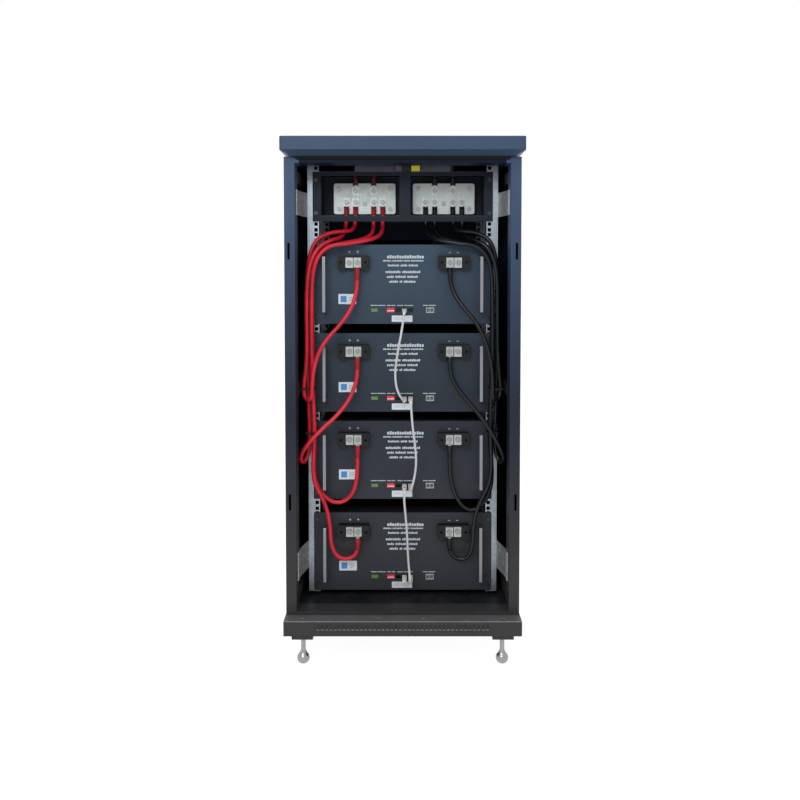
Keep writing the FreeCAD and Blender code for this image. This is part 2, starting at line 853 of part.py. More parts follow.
def each_busbar_lug():
    """Every cable lug on the bars: its place and 1 if its lead goes up."""
    for x in each_busbar():
        for offset in LOWER_LUGS:
            yield x + offset, size("tray_middle") + lug_low, -1
        for offset in UPPER_LUGS:
            yield x + offset, size("tray_middle") + lug_high, 1


def each_busbar_screw():
    for x in each_busbar():
        for side in SIDES:
            for end in SIDES:
                yield x + 70 * side, size("tray_middle") + 28 * end
        yield x, size("tray_middle") - 13


def make_busbar(x, label):
    half_x, half_z = size("busbar_length") / 2, size("busbar_height") / 2
    middle = size("tray_middle")
    bar = box((x - half_x, x + half_x), (bar_face, bar_back), (middle - half_z, middle + half_z))
    bar = fillet(bar, 6.0, lambda edge: runs_along(edge, "y"))
    low, high = float(x - half_x), float(x + half_x)
    holes = [rod("y", (lug_x, bar_face - 1, z), 10, 4.0) for lug_x, z, _ in each_busbar_lug()
             if low < float(lug_x) < high]
    holes += [rod("y", (screw_x, bar_face - 1, z), 10, 3.0) for screw_x, z in each_busbar_screw()
              if low < float(screw_x) < high]
    return node(cut(bar, holes), label)


def make_busbar_tray():
    """Front frame with two windows, two side walls and a back plate."""
    half_x, half_z = size("panel_width") / 2, size("tray_height") / 2
    middle = size("tray_middle")
    frame = box((-half_x, half_x), (front_face, rail_front), (middle - half_z, middle + half_z))
    windows = [box((-219.0, -9.0), (front_face - 1, rail_front + 1), (middle - 51, middle + 55)),
               box((21.0, 219.0), (front_face - 1, rail_front + 1), (middle - 51, middle + 55))]
    for side in SIDES:
        for z in TRAY_SCREWS:
            windows.append(rod("y", (slot_x * side, front_face - 1, z), 6, 3.4))
    walls = [box(span(side, 219.5, 221.5), (rail_front, tray_back), (middle - half_z + 4, middle + half_z - 4))
             for side in SIDES]
    back = box((-219.5, 219.5), (tray_back - plate, tray_back),
               (middle - half_z + 4, middle + half_z - 4))
    rim = box((-219.5, 219.5), (rail_front, rail_front + 12),
              (middle + half_z - 6, middle + half_z - 4))
    return node(fuse([cut(frame, windows)] + walls + [back, rim]), "busbar_tray")


TRAY_SCREWS = (size("tray_middle") - 44.45, size("tray_middle") + 44.45)


def make_busbar_insulators():
    posts = []
    for x in each_busbar():
        for side in SIDES:
            for end in SIDES:
                post = rod("y", (x + 70 * side, bar_back, size("tray_middle") + 28 * end),
                           size("insulator_length"), 11)
                bore = rod("y", (x + 70 * side, bar_back - 1, size("tray_middle") + 28 * end), 8, 3.0)
                posts.append(cut(post, [bore]))
    return group(posts, "busbar_insulators")


def make_lug(x, z, face, way):
    """A ring terminal: flat palm on a stud, round barrel up or down."""
    start = 12 if way > 0 else -32
    palm = box((x - 9, x + 9), (face, face + 3), (z - 11, z + 11))
    neck = box((x - 6, x + 6), (face, face + 3), (z + 10, z + 16) if way > 0 else (z - 16, z - 10))
    barrel = rod("z", (x, face - lug_offset, z + start), 20, 6.2)
    hole = rod("y", (x, face - 1, z), 5, 4.0)
    return cut(fuse([palm, neck, barrel]), [hole])


def make_power_lugs():
    lugs = [make_lug(x, z, palm_face, -1) for x, z, has_lead in each_stud() if has_lead]
    lugs += [make_lug(x, z, bar_face - 3, way) for x, z, way in each_busbar_lug()]
    return group(lugs, "power_lugs")


OUTPUT_BAR_DROP = 5.0


def make_output_bar():
    """Mounting rail above the busbar drawer, hung from two brackets."""
    middle = rail_top - OUTPUT_BAR_DROP
    channel = box((-128.0, 128.0), (rail_front - 2, rail_front + 5.5), (middle - 11, middle + 11))
    groove = box((-130.0, 130.0), (rail_front - 1, rail_front + 7), (middle - 8, middle + 8))
    arms = [box((x - 10, x + 10), (post_back, rail_front - 2), (middle + 7, middle + 9))
            for x in (-118.0, 118.0)]
    return node(fuse([cut(channel, [groove])] + arms), "output_bar")


def make_output_terminals():
    """Three blocks on the rail and two clamps behind it that end the rising leads."""
    blocks = []
    middle = rail_top - OUTPUT_BAR_DROP
    first_span, middle_span, last_span = (-19.0, -3.5), (-3.0, 20.5), (23.0, 45.0)
    for across in (first_span, middle_span, last_span):
        blocks.append(box(across, (rail_front - 22, rail_front - 2), (middle - 11, middle + 6.5)))
    for across in (first_span, last_span):
        blocks.append(box(across, (rail_front + 5.5, rail_front + 26), (middle - 14, middle + 11)))
    return group(blocks, "output_terminals")


def make_rack_screws():
    """Pan-head screws and caged nuts at the ears of modules and drawer."""
    pieces = []
    levels = list(TRAY_SCREWS)
    for middle in MIDDLES:
        levels += [middle - slot_z, middle + slot_z]
    for z in levels:
        for side in SIDES:
            x = slot_x * side
            head = rod("y", (x, front_face - 3.2, z), 3.2, 5.5)
            shank = rod("y", (x, front_face, z), 18, 3.0)
            nut = box((x - 6, x + 6), (rail_front + plate, rail_front + plate + 5), (z - 6, z + 6))
            pieces.append(fuse([head, shank, nut]))
    return group(pieces, "rack_screws")


# ---------------------------------------------------------------- leads

def terminal_exit(index, side):
    """Where the lead of a module leaves its lug."""
    inner_stud = float(terminal_spots[(side + 1) // 2]) - side * SIZES["stud_spacing"] / 2
    z = float(MIDDLES[index]) + SIZES["terminal_rise"] - 32
    return (inner_stud, float(lead_plane), z)


def busbar_exit(side, offset, way):
    """Where a lead leaves a lug on one of the busbars."""
    centre = SIZES["busbar_left"] if side < 0 else SIZES["busbar_right"]
    z = SIZES["tray_middle"] + (lug_low - 32 if way < 0 else lug_high + 32)
    return (centre + offset, float(bar_lead_plane), z)


def plug_exit(index, x):
    return (x, float(plug_tip), float(MIDDLES[index]) - SIZES["port_drop"])


def mirrored(points, first_shift, last_shift):
    """The same stretch of route on the right-hand side, eased from one shift to another."""
    step = (last_shift - first_shift) / (len(points) - 1)
    return [(first_shift + step * i - x, y, z) for i, (x, y, z) in enumerate(points)]


# The red leads from the top down. FAN spreads from the busbar lugs to the trunk, TRUNK runs
# down beside the rail, and LOOP turns back up and crosses to the module's terminal.
FAN_RED = {
    1: [(-160, -106, 1103), (-170, -136, 1090), (-192, -165, 1084), (-225, -180, 1064),
        (-247, -183, 1020), (-254, -182, 960)],
    2: [(-137, -106, 1112), (-157, -124, 1109), (-192, -141, 1106), (-229, -156, 1089),
        (-248, -162, 1048), (-254, -167, 990)],
    3: [(-82, -106, 1105), (-94, -136, 1092), (-124, -158, 1082), (-168, -166, 1074),
        (-209, -168, 1066), (-234, -168, 1029), (-241, -168, 970)],
    4: [(-57, -105, 1106), (-68, -136, 1093), (-96, -166, 1083), (-146, -180, 1074),
        (-192, -183, 1070), (-226, -183, 1042), (-240, -182, 985)],
}
TRUNK_RED = {
    1: [(-255, -181, 880), (-254, -180, 790), (-258, -182, 735), (-262, -186, 700)],
    2: [(-255, -167, 880), (-253, -168, 785), (-254, -167, 700), (-250, -168, 620),
        (-249, -168, 565)],
    3: [(-241, -167, 880), (-240, -168, 760), (-240, -167, 660), (-235, -168, 590),
        (-236, -167, 520), (-239, -167, 470), (-233, -168, 432), (-215, -169, 400)],
    4: [(-242, -181, 880), (-241, -181, 780), (-240, -180, 690), (-235, -181, 600),
        (-237, -181, 520), (-240, -181, 465), (-232, -181, 427), (-214, -182, 396),
        (-200, -182, 358), (-194, -181, 316), (-193, -177, 274)],
}
LOOP_RED = {
    1: [(-262, -186, 675), (-255, -193, 663), (-245, -203, 663), (-238, -210, 675),
        (-238, -210, 700), (-234, -207, 745), (-221, -203, 790), (-196, -196, 828),
        (-163, -187, 862), (-136, -178, 902), (-124, -171, 940)],
    2: [(-250, -169, 530), (-255, -170, 505), (-264, -182, 491), (-271, -197, 503),
        (-263, -207, 529), (-241, -209, 558), (-211, -203, 588), (-176, -193, 618),
        (-144, -181, 656), (-125, -171, 700)],
    3: [(-190, -169, 381), (-160, -170, 381), (-135, -170, 402), (-123, -169, 440)],
    4: [(-182, -173, 240), (-161, -171, 226), (-139, -168, 228)],
}
# The black leads mirror the red fan and trunk, but loop back on routes of their own.
LOOP_BLACK = {
    1: [(259, -186, 675), (252, -193, 663), (242, -203, 663), (235, -210, 675),
        (236, -210, 702), (234, -207, 748), (225, -204, 795), (209, -201, 838),
        (190, -194, 872), (163, -185, 902), (138, -174, 937)],
    2: [(247, -169, 530), (252, -170, 505), (261, -182, 491), (268, -197, 503),
        (260, -207, 530), (244, -209, 560), (224, -203, 594), (198, -194, 628),
        (167, -183, 663), (138, -173, 701)],
    3: [(206, -168, 368), (187, -169, 357), (161, -170, 369), (140, -170, 401),
        (128, -169, 446)],
    4: [(181, -173, 238), (163, -171, 225), (143, -168, 228)],
}
TRUNK_BLACK = {
    1: [(251, -181, 880), (252, -180, 790), (256, -182, 735), (259, -186, 700)],
    2: [(252, -167, 880), (250, -168, 785), (251, -167, 700), (248, -168, 620),
        (246, -168, 565)],
    3: [(238, -167, 880), (237, -168, 760), (236, -167, 665), (232, -168, 590),
        (235, -167, 520), (240, -167, 470), (238, -168, 424), (226, -168, 390)],
    4: [(238, -181, 880), (239, -181, 780), (236, -180, 690), (233, -181, 600),
        (236, -181, 520), (237, -181, 470), (229, -181, 428), (211, -182, 396),
        (196, -182, 360), (189, -181, 318), (188, -177, 274)],
}
LUG_OFFSETS = dict(zip((1, 2, 3, 4), LOWER_LUGS))


# Where each data lead starts and ends: module, port and module, port.
COMM_ENDS = {1: (0, 4.5, 1, 4.5), 2: (1, 21.0, 2, 21.0), 3: (2, 4.5, 3, 21.0)}
COMM_ROUTES = {
    1: [(4.5, -192, 896), (3, -203, 888), (1, -209, 870), (-4, -208, 838), (-13, -203, 790),
        (-20, -197, 742), (-19, -197, 707), (-12, -204, 682), (-3, -208, 668), (3, -202, 660),
        (4.5, -192, 658)],
    2: [(21, -192, 658), (22, -203, 650), (23, -209, 633), (25, -208, 602), (31, -202, 556),
        (36, -197, 508), (34, -197, 472), (28, -204, 445), (23, -208, 430), (21.5, -202, 422),
        (21, -192, 420)],
    3: [(4.5, -192, 420), (4, -203, 412), (4, -209, 394), (7, -208, 362), (11, -202, 316),
        (13, -197, 268), (15, -197, 230), (18, -204, 198), (20, -208, 182), (21, -202, 173),
        (21, -192, 170)],
}


def corner_radius(before, corner, after):
    """Arc radius at one point of a route and the length the arc takes from each run."""
    into = corner - before
    out = after - corner
    turn = into.getAngle(out)
    trim = 0.45 * min(into.Length, out.Length)
    return trim / math.tan(turn / 2), trim, turn


def route_wire(points):
    """Straight runs joined by tangent arcs."""
    path = [Vector(*point) for point in points]
    edges = []
    radii = []
    start = path[0]
    for before, corner, after in zip(path, path[1:], path[2:]):
        radius, trim, turn = corner_radius(before, corner, after)
        into = Vector(corner - before).normalize()
        out = Vector(after - corner).normalize()
        entry = corner - into * trim
        leave = corner + out * trim
        inward = Vector(out - into).normalize()
        middle = corner + inward * (radius / math.cos(turn / 2) - radius)
        edges.append(Part.LineSegment(start, entry).toShape())
        edges.append(Part.Arc(entry, middle, leave).toShape())
        radii.append(round(radius))
        start = leave
    edges.append(Part.LineSegment(start, path[-1]).toShape())
    return Part.Wire(edges), radii


def make_tube(points, radius, name):
    """One round cord along a route; its volume is compared with its length."""
    wire, radii = route_wire(points)
    first_run = Vector(*points[1]) - Vector(*points[0])
    circle = Part.Circle(Vector(*points[0]), first_run, radius)
    profile = Part.Wire([circle.toShape()])
    solid = wire.makePipeShell([profile], True, True)
    expected = math.pi * radius ** 2 * wire.Length
    ratio = solid.Volume / expected
    print(f"{name}: length {wire.Length:.0f} mm, volume ratio {ratio:.4f}, radii {radii}")
    if abs(ratio - 1) > 0.01:
        raise RuntimeError(f"{name} has a wrong volume")
    cord = doc.addObject("Part::Feature", name)
    cord.Shape = solid
    return cord


def below(point, drop):
    x, y, z = point
    return (x, y, z - drop)


def red_route(number):
    top = busbar_exit(-1, LUG_OFFSETS[number], -1)
    bottom = terminal_exit(number - 1, -1)
    middle = FAN_RED[number] + TRUNK_RED[number] + LOOP_RED[number]
    return [top, below(top, 27)] + middle + [below(bottom, 21), bottom]


def black_route(number):
    top = busbar_exit(1, -LUG_OFFSETS[number], -1)
    bottom = terminal_exit(number - 1, 1)
    fan = mirrored(FAN_RED[number], 8.0, -3.0)
    middle = fan + TRUNK_BLACK[number] + LOOP_BLACK[number]
    return [top, below(top, 27)] + middle + [below(bottom, 21), bottom]


# The four leads that rise from the busbars to the clamps behind the mounting rail.
OUTPUT_ROUTES = {
    "positive": [
        [(-123, -96, 1302), (-98, -108, 1315), (-66, -121, 1305), (-45, -128, 1283), (-19, -128, 1283)],
        [(-73, -99, 1290), (-56, -115, 1290), (-41, -128, 1271), (-19, -128, 1271)],
    ],
    "negative": [
        [(83, -101, 1290), (72, -117, 1287), (62, -128, 1271), (45, -128, 1271)],
        [(133, -97, 1302), (112, -109, 1315), (86, -121, 1305), (68, -128, 1283), (45, -128, 1283)],
    ],
}


def comm_route(number):
    upper, first_port, lower, last_port = COMM_ENDS[number]
    return [plug_exit(upper, first_port)] + COMM_ROUTES[number] + [plug_exit(lower, last_port)]


def output_route(name, index):
    side = -1 if name == "positive" else 1
    start = busbar_exit(side, UPPER_LUGS[index], 1)
    return [start, below(start, -18)] + OUTPUT_ROUTES[name][index]


# Each cable tie: the middle of its bundle, its underside, and the bundle's width and depth.
TIES = [
    ((-251.0, -176.5), 688.0, (34.4, 31.4)),
    ((-242.4, -174.0), 569.0, (26.4, 26.4)),
    ((247.6, -176.5), 688.0, (34.8, 31.4)),
    ((239.4, -174.0), 569.0, (26.6, 26.4)),
]
TIE_STRAP, TIE_BREADTH, TIE_LOCK = 1.3, 4.5, 7.0


def make_tie(middle, z, bundle):
    """A strap round the leads of one trunk, with its lock in front."""
    (x, y), (width, depth) = middle, bundle
    near, far = y - depth / 2, y + depth / 2
    left, right = x - width / 2, x + width / 2
    outside = box((left - TIE_STRAP, right + TIE_STRAP), (near - TIE_STRAP, far + TIE_STRAP),
                  (z, z + TIE_BREADTH))
    inside = box((left, right), (near, far), (z - 1, z + TIE_BREADTH + 2))
    lock = box((x - TIE_LOCK / 2, x + TIE_LOCK / 2), (near - TIE_STRAP - 4, near),
               (z - 1, z + TIE_BREADTH + 1))
    return cut(fuse([outside, lock]), [inside])


def make_cable_ties():
    return group([make_tie(*tie) for tie in TIES], "cable_ties")


# ---------------------------------------------------------------- the assembly

def make_cabinet():
    make_base_plinth()
    make_floor_panel()
    make_top_cover()
    make_end_frame("front_frame", post_front, post_back, FRONT_SLOTS)
    make_end_frame("rear_frame", -post_back, -post_front, ())
    make_foot_brackets()
    for corner in FOOT_CORNERS:
        make_foot(corner)
    make_side_panel(-1, "side_panel_left")
    make_side_panel(1, "side_panel_right")
    make_rear_door()
    make_rear_door_handle()
    make_rear_hinge_pins()
    node(make_rail(-1, -1), "rail_front_left")
    node(make_rail(1, -1), "rail_front_right")
    group([make_rail(-1, 1), make_rail(1, 1)], "rails_rear")
    make_rail_carriers()
    make_support_angles()
    make_rack_screws()


FRONT_SLOTS = (388.0, 1031.0)


def make_modules():
    for number, middle in zip(NUMBERS, MIDDLES):
        make_module_case(number, middle)
        make_module_front(number, middle)
    make_module_handles()
    make_terminal_blocks()
    make_terminal_pads()
    make_comm_sockets()
    make_address_switches()
    make_soc_displays()
    make_battery_cells()
    make_bms_boards()


def make_wiring():
    make_busbar_tray()
    make_busbar(size("busbar_left"), "busbar_positive")
    make_busbar(size("busbar_right"), "busbar_negative")
    make_busbar_insulators()
    make_power_lugs()
    make_power_bolts()
    make_output_bar()
    make_output_terminals()
    make_comm_plugs()
    make_cable_ties()
    for number in (1, 2, 3, 4):
        name = f"positive_lead_{number}"
        node(make_tube(red_route(number), SIZES["lead_radius"], name), name)
        name = f"negative_lead_{number}"
        node(make_tube(black_route(number), SIZES["lead_radius"], name), name)
    for number in (1, 2, 3):
        name = f"comm_lead_{number}"
        node(make_tube(comm_route(number), SIZES["comm_radius"], name), name)
    for polarity in OUTPUT_ROUTES:
        pair = [make_tube(output_route(polarity, i), SIZES["lead_radius"], f"output {polarity} {i}")
                for i in (0, 1)]
        group(pair, f"output_leads_{polarity}")


def check_and_export():
    """Stop on any failed object, then write each piece to its own file."""
    doc.recompute()
    for thing in doc.Objects:
        if "Invalid" in thing.State or "Error" in thing.State:
            raise RuntimeError(f"{thing.Name} {thing.Label} failed: {thing.State}")
    labels = [piece.Label for piece in NODES]
    if len(set(labels)) != len(labels) or len(labels) > 60:
        raise RuntimeError("labels must be unique and at most sixty")
    for piece in NODES:
        if piece.Shape.isNull() or not piece.Shape.isValid():
            raise RuntimeError(f"{piece.Label} has no valid shape")
    os.makedirs("parts", exist_ok=True)
    for piece in NODES:
        piece.Shape.exportStep(f"parts/{piece.Label}.step")
    print(len(labels), "pieces written")


make_cabinet()
make_modules()
make_wiring()
check_and_export()
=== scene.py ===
import math

import bmesh
import bpy
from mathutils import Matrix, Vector


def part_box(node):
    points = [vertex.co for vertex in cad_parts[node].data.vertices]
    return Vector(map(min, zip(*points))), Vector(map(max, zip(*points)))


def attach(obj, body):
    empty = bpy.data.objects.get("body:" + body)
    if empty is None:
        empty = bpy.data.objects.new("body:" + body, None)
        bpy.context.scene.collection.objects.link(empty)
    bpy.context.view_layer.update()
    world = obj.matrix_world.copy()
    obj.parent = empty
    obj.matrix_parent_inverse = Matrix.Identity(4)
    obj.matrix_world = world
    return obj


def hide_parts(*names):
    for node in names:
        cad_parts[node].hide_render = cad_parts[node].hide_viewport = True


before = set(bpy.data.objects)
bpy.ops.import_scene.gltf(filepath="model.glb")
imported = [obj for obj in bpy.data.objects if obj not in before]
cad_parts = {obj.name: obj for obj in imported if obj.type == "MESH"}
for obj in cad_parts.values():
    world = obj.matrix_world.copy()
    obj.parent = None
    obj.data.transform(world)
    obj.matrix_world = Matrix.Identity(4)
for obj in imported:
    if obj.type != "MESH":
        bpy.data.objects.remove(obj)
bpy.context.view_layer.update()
MM = 0.001
HOME = "cabinet"


# ---------------------------------------------------------------- camera and light

# Where the camera stands in metres, its tilt in degrees, its lens and sensor in millimetres and
# the lens shift as a share of the picture.
CAMERA_PLACE = (0.0, -2.178, 1.001)
TILT_DOWN = 2.17
LENS, SENSOR = 34.0, 36.0
LENS_SHIFT = (-0.0034, -0.125)


def make_camera():
    """Chest height, straight ahead and a little down, with the lens shifted down."""
    camera_data = bpy.data.cameras.new("camera")
    camera = bpy.data.objects.new("camera", camera_data)
    bpy.context.collection.objects.link(camera)
    camera.location = CAMERA_PLACE
    camera.rotation_euler = (math.radians(90.0 - TILT_DOWN), 0.0, 0.0)
    camera_data.lens, camera_data.sensor_width = LENS, SENSOR
    camera_data.shift_x, camera_data.shift_y = LENS_SHIFT
    camera_data.clip_end = 100.0
    bpy.context.scene.camera = camera


def make_area_light(name, place, target, size, power, tint):
    """A soft rectangular lamp at a place, aimed at a target."""
    data = bpy.data.lights.new(name, "AREA")
    data.shape = "RECTANGLE"
    data.size, data.size_y = size
    data.energy = power
    data.color = tint
    light = bpy.data.objects.new(name, data)
    bpy.context.collection.objects.link(light)
    light.location = place
    aim = Vector(target) - Vector(place)
    light.rotation_euler = aim.to_track_quat("-Z", "Y").to_euler()


def make_studio():
    """A white paper floor, a white sky and two soft lamps."""
    world = bpy.data.worlds.new("studio")
    bpy.context.scene.world = world
    world.use_nodes = True
    sky = world.node_tree.nodes["Background"]
    sky.inputs["Color"].default_value = (1.0, 1.0, 1.0, 1.0)
    sky.inputs["Strength"].default_value = 1.0
    bpy.context.scene.view_settings.view_transform = "Standard"
    make_area_light("key", (-0.7, -2.6, 2.2), (0.0, -0.2, 0.7), (1.2, 0.8), 30.0, (0.93, 0.96, 1.0))
    make_area_light("top", (0.0, -0.6, 3.2), (0.0, 0.0, 1.3), (1.8, 1.8), 20.0, (0.88, 0.94, 1.0))
    floor_mesh = bpy.data.meshes.new("floor")
    half = 14.0
    corners = [(-half, -half, 0), (half, -half, 0), (half, half, 0), (-half, half, 0)]
    floor_mesh.from_pydata(corners, [], [(0, 1, 2, 3)])
    floor = bpy.data.objects.new("floor", floor_mesh)
    bpy.context.collection.objects.link(floor)
    floor.data.materials.append(glowing_paper("floor_paper"))


# ---------------------------------------------------------------- materials

class Nodes:
    """Short names for the nodes that the materials below share."""

    def __init__(self, name):
        self.material = bpy.data.materials.new(name)
        self.material.use_nodes = True
        self.tree = self.material.node_tree
        self.shader = self.tree.nodes["Principled BSDF"]
        self.place = self.add("ShaderNodeTexCoord").outputs["Object"]

    def add(self, kind, **settings):
        node = self.tree.nodes.new(kind)
        for key, value in settings.items():
            setattr(node, key, value)
        return node

    def link(self, source, target):
        self.tree.links.new(source, target)

    def stretched(self, scale):
        mapping = self.add("ShaderNodeMapping")
        mapping.inputs["Scale"].default_value = scale
        self.link(self.place, mapping.inputs["Vector"])
        return mapping.outputs["Vector"]

    def part(self, vector, axis):
        """One axis of a vector."""
        split = self.add("ShaderNodeSeparateXYZ")
        self.link(vector, split.inputs["Vector"])
        return split.outputs[axis]

    def calculate(self, operation, first, second=None):
        """A step of arithmetic: the second value is a number or another node's output."""
        step = self.add("ShaderNodeMath", operation=operation)
        self.link(first, step.inputs[0])
        if isinstance(second, bpy.types.NodeSocket):
            self.link(second, step.inputs[1])
        elif second is not None:
            step.inputs[1].default_value = second
        return step.outputs[0]

    def noise(self, scale, detail=3.0, source=None):
        texture = self.add("ShaderNodeTexNoise")
        texture.inputs["Scale"].default_value = scale
        texture.inputs["Detail"].default_value = detail
        self.link(source or self.place, texture.inputs["Vector"])
        return texture.outputs["Fac"]

    def crystals(self, scale):
        """Flat patches of different tone, like the crystals of a zinc coat."""
        texture = self.add("ShaderNodeTexVoronoi")
        texture.inputs["Scale"].default_value = scale
        self.link(self.place, texture.inputs["Vector"])
        return texture.outputs["Color"]

    def ramp(self, source, stops):
        ramp = self.add("ShaderNodeValToRGB")
        elements = ramp.color_ramp.elements
        while len(elements) < len(stops):
            elements.new(0.5)
        for element, (position, color) in zip(elements, stops):
            element.position = position
            element.color = tuple(color) + (1.0,)
        self.link(source, ramp.inputs["Fac"])
        return ramp.outputs["Color"]

    def span(self, source, low, high, from_low=0.0, from_high=1.0):
        spread = self.add("ShaderNodeMapRange")
        spread.inputs["From Min"].default_value = from_low
        spread.inputs["From Max"].default_value = from_high
        spread.inputs["To Min"].default_value = low
        spread.inputs["To Max"].default_value = high
        self.link(source, spread.inputs["Value"])
        return spread.outputs["Result"]

    def mix(self, factor, first, second, kind="MIX"):
        blend = self.add("ShaderNodeMix", data_type="RGBA", blend_type=kind)
        self.link(factor, blend.inputs["Factor"])
        for socket, value in ((6, first), (7, second)):
            if isinstance(value, bpy.types.NodeSocket):
                self.link(value, blend.inputs[socket])
            else:
                blend.inputs[socket].default_value = tuple(value) + (1.0,)
        return blend.outputs[2]

    def bump(self, source, strength, distance, edge=0.0):
        """Relief from a texture, over edges that are eased by a small radius."""
        bump = self.add("ShaderNodeBump")
        if edge:
            eased = self.add("ShaderNodeBevel", samples=4)
            eased.inputs["Radius"].default_value = edge
            self.link(eased.outputs["Normal"], bump.inputs["Normal"])
        bump.inputs["Strength"].default_value = strength
        bump.inputs["Distance"].default_value = distance
        self.link(source, bump.inputs["Height"])
        self.link(bump.outputs["Normal"], self.shader.inputs["Normal"])

    def vary_roughness(self, value, scale, detail=3.0, least=0.8, most=1.2):
        """A roughness that wanders between two shares of its value."""
        wander = self.span(self.noise(scale, detail), value * least, value * most)
        self.link(wander, self.shader.inputs["Roughness"])

    def height(self):
        """The height above the floor, in metres."""
        return self.part(self.place, "Z")

    def recess(self, edge, half):
        """1 above a height and within half a width, 0 elsewhere: the bar below the cap."""
        above = self.calculate("GREATER_THAN", self.height(), edge)
        aside = self.calculate("ABSOLUTE", self.part(self.place, "X"))
        within = self.calculate("LESS_THAN", aside, half)
        return self.calculate("MULTIPLY", above, within)

    def upward(self):
        """How far a face looks up, 0 to 1: where dust settles, and where top faces get a painted
        highlight.
        """
        geometry = self.add("ShaderNodeNewGeometry")
        return self.span(self.part(geometry.outputs["Normal"], "Z"), 0.0, 1.0, 0.6, 1.0)

    def highlight_edges(self, radius):
        """1 along folded edges between an upright face and a top face, where a painted highlight goes.
        """
        eased = self.add("ShaderNodeBevel", samples=6)
        eased.inputs["Radius"].default_value = radius
        stops = [(0.15, (0, 0, 0)), (0.45, (1, 1, 1)), (0.8, (1, 1, 1)), (0.97, (0, 0, 0))]
        return self.ramp(self.part(eased.outputs["Normal"], "Z"), stops)


def glowing_paper(name):
    """White paper that shines by itself, so that it stays white round the feet."""
    n = Nodes(name)
    n.link(n.ramp(n.noise(3.0), [(0.0, (0.14, 0.14, 0.14)), (1.0, (0.16, 0.16, 0.16))]),
           n.shader.inputs["Base Color"])
    n.shader.inputs["Roughness"].default_value = 0.9
    n.shader.inputs["Specular IOR Level"].default_value = 0.0
    n.shader.inputs["Emission Color"].default_value = (1.0, 1.0, 1.0, 1.0)
    n.shader.inputs["Emission Strength"].default_value = 0.95
    return n.material


def shade(color, factor):
    return tuple(min(1.0, part * factor) for part in color)


# Heights in metres over which the painted reflection fades, taking the paint from its darkest tone
# to the middle one, and from that to the lit top colour.
LOWER_LIGHT_SHIFT = (0.25, 0.62)
UPPER_LIGHT_SHIFT = (0.66, 1.22)
DUST_COLOR = (0.16, 0.155, 0.15)
# The bar below the cap lies in the cap's shade: its lower edge and half its length in metres,
# then its colour.
HEADER_EDGE, HEADER_HALF = 1.25, 0.262
SHADED_PAINT = (0.006, 0.010, 0.020)
# How wide the painted highlights on top edges and the eased edges of sheet metal look, in metres.
HIGHLIGHT_EDGE, EASED_EDGE = 2.2 * MM, 1.4 * MM


def paint(name, color, roughness, shade_tones=None, dust=0.0, header=False, lit_top_color=None,
          highlight_color=None):
    """Powder coat: fine orange peel, soft mottle and dust, with painted light: a painted reflection
    that shifts the colour with height, painted highlights on top faces and top edges, and painted shade
    on the bar below the cap.
    """
    n = Nodes(name)
    mottle = n.noise(5.0, 4.0)
    base = n.ramp(mottle, [(0.3, shade(color, 0.9)), (0.7, shade(color, 1.1))])
    # Painted reflection: the paint is bluer and lighter at the top and darker towards the bottom.
    if shade_tones:
        lowest_shade, middle_shade = shade_tones
        low = n.ramp(mottle, [(0.3, shade(lowest_shade, 0.9)), (0.7, shade(lowest_shade, 1.1))])
        lower_shading = n.mix(n.span(n.height(), 0.0, 1.0, *LOWER_LIGHT_SHIFT), low, middle_shade)
        base = n.mix(n.span(n.height(), 0.0, 1.0, *UPPER_LIGHT_SHIFT), lower_shading, base)
    # Painted highlight: top faces are lighter, as light falls on them.
    if lit_top_color:
        base = n.mix(n.upward(), base, lit_top_color)
    # Painted highlight along the top edges.
    if highlight_color:
        base = n.mix(n.highlight_edges(HIGHLIGHT_EDGE), base, highlight_color)
    if dust:
        patch = n.span(n.noise(30.0, 6.0), 0.0, dust, 0.35, 0.75)
        base = n.mix(n.calculate("MULTIPLY", patch, n.upward()), base, DUST_COLOR)
    n.shader.inputs["Specular IOR Level"].default_value = 0.15
    if header:
        hidden = n.recess(HEADER_EDGE, HEADER_HALF)
        base = n.mix(hidden, base, SHADED_PAINT)
        n.link(n.span(hidden, 0.15, 0.04), n.shader.inputs["Specular IOR Level"])
    n.link(base, n.shader.inputs["Base Color"])
    n.vary_roughness(roughness, 38.0, 4.0, 0.85, 1.15)
    n.bump(n.noise(900.0, 2.0), 0.25, 0.12 * MM, edge=EASED_EDGE)
    return n.material


def metal(name, color, roughness, lines=(40.0, 40.0, 900.0), spangle=0.0):
    """Plated or brushed metal: drawn lines, and crystals where it is galvanised."""
    n = Nodes(name)
    drawn = n.noise(1.0, 3.0, n.stretched(lines))
    base = n.ramp(drawn, [(0.25, shade(color, 0.86)), (0.75, shade(color, 1.08))])
    if spangle:
        tone = n.ramp(n.crystals(spangle), [(0.2, shade(color, 0.78)), (0.8, shade(color, 1.12))])
        base = n.mix(n.span(n.noise(9.0), 0.35, 0.65), base, tone)
    n.link(base, n.shader.inputs["Base Color"])
    n.shader.inputs["Metallic"].default_value = 0.9
    n.vary_roughness(roughness, 60.0, 4.0, 0.75, 1.25)
    n.bump(drawn, 0.2, 0.08 * MM)
    return n.material


def plastic(name, color, roughness, grain=500.0, depth=0.15, coat=0.0):
    """Moulded plastic: faint flow marks and a fine spark-eroded skin."""
    n = Nodes(name)
    flow = n.noise(22.0, 3.0)
    base = n.ramp(flow, [(0.25, shade(color, 0.9)), (0.75, shade(color, 1.08))])
    n.link(base, n.shader.inputs["Base Color"])
    n.vary_roughness(roughness, 90.0)
    n.shader.inputs["Specular IOR Level"].default_value = 0.25
    n.shader.inputs["Coat Weight"].default_value = coat
    n.bump(n.noise(grain, 2.0), depth, 0.1 * MM)
    return n.material


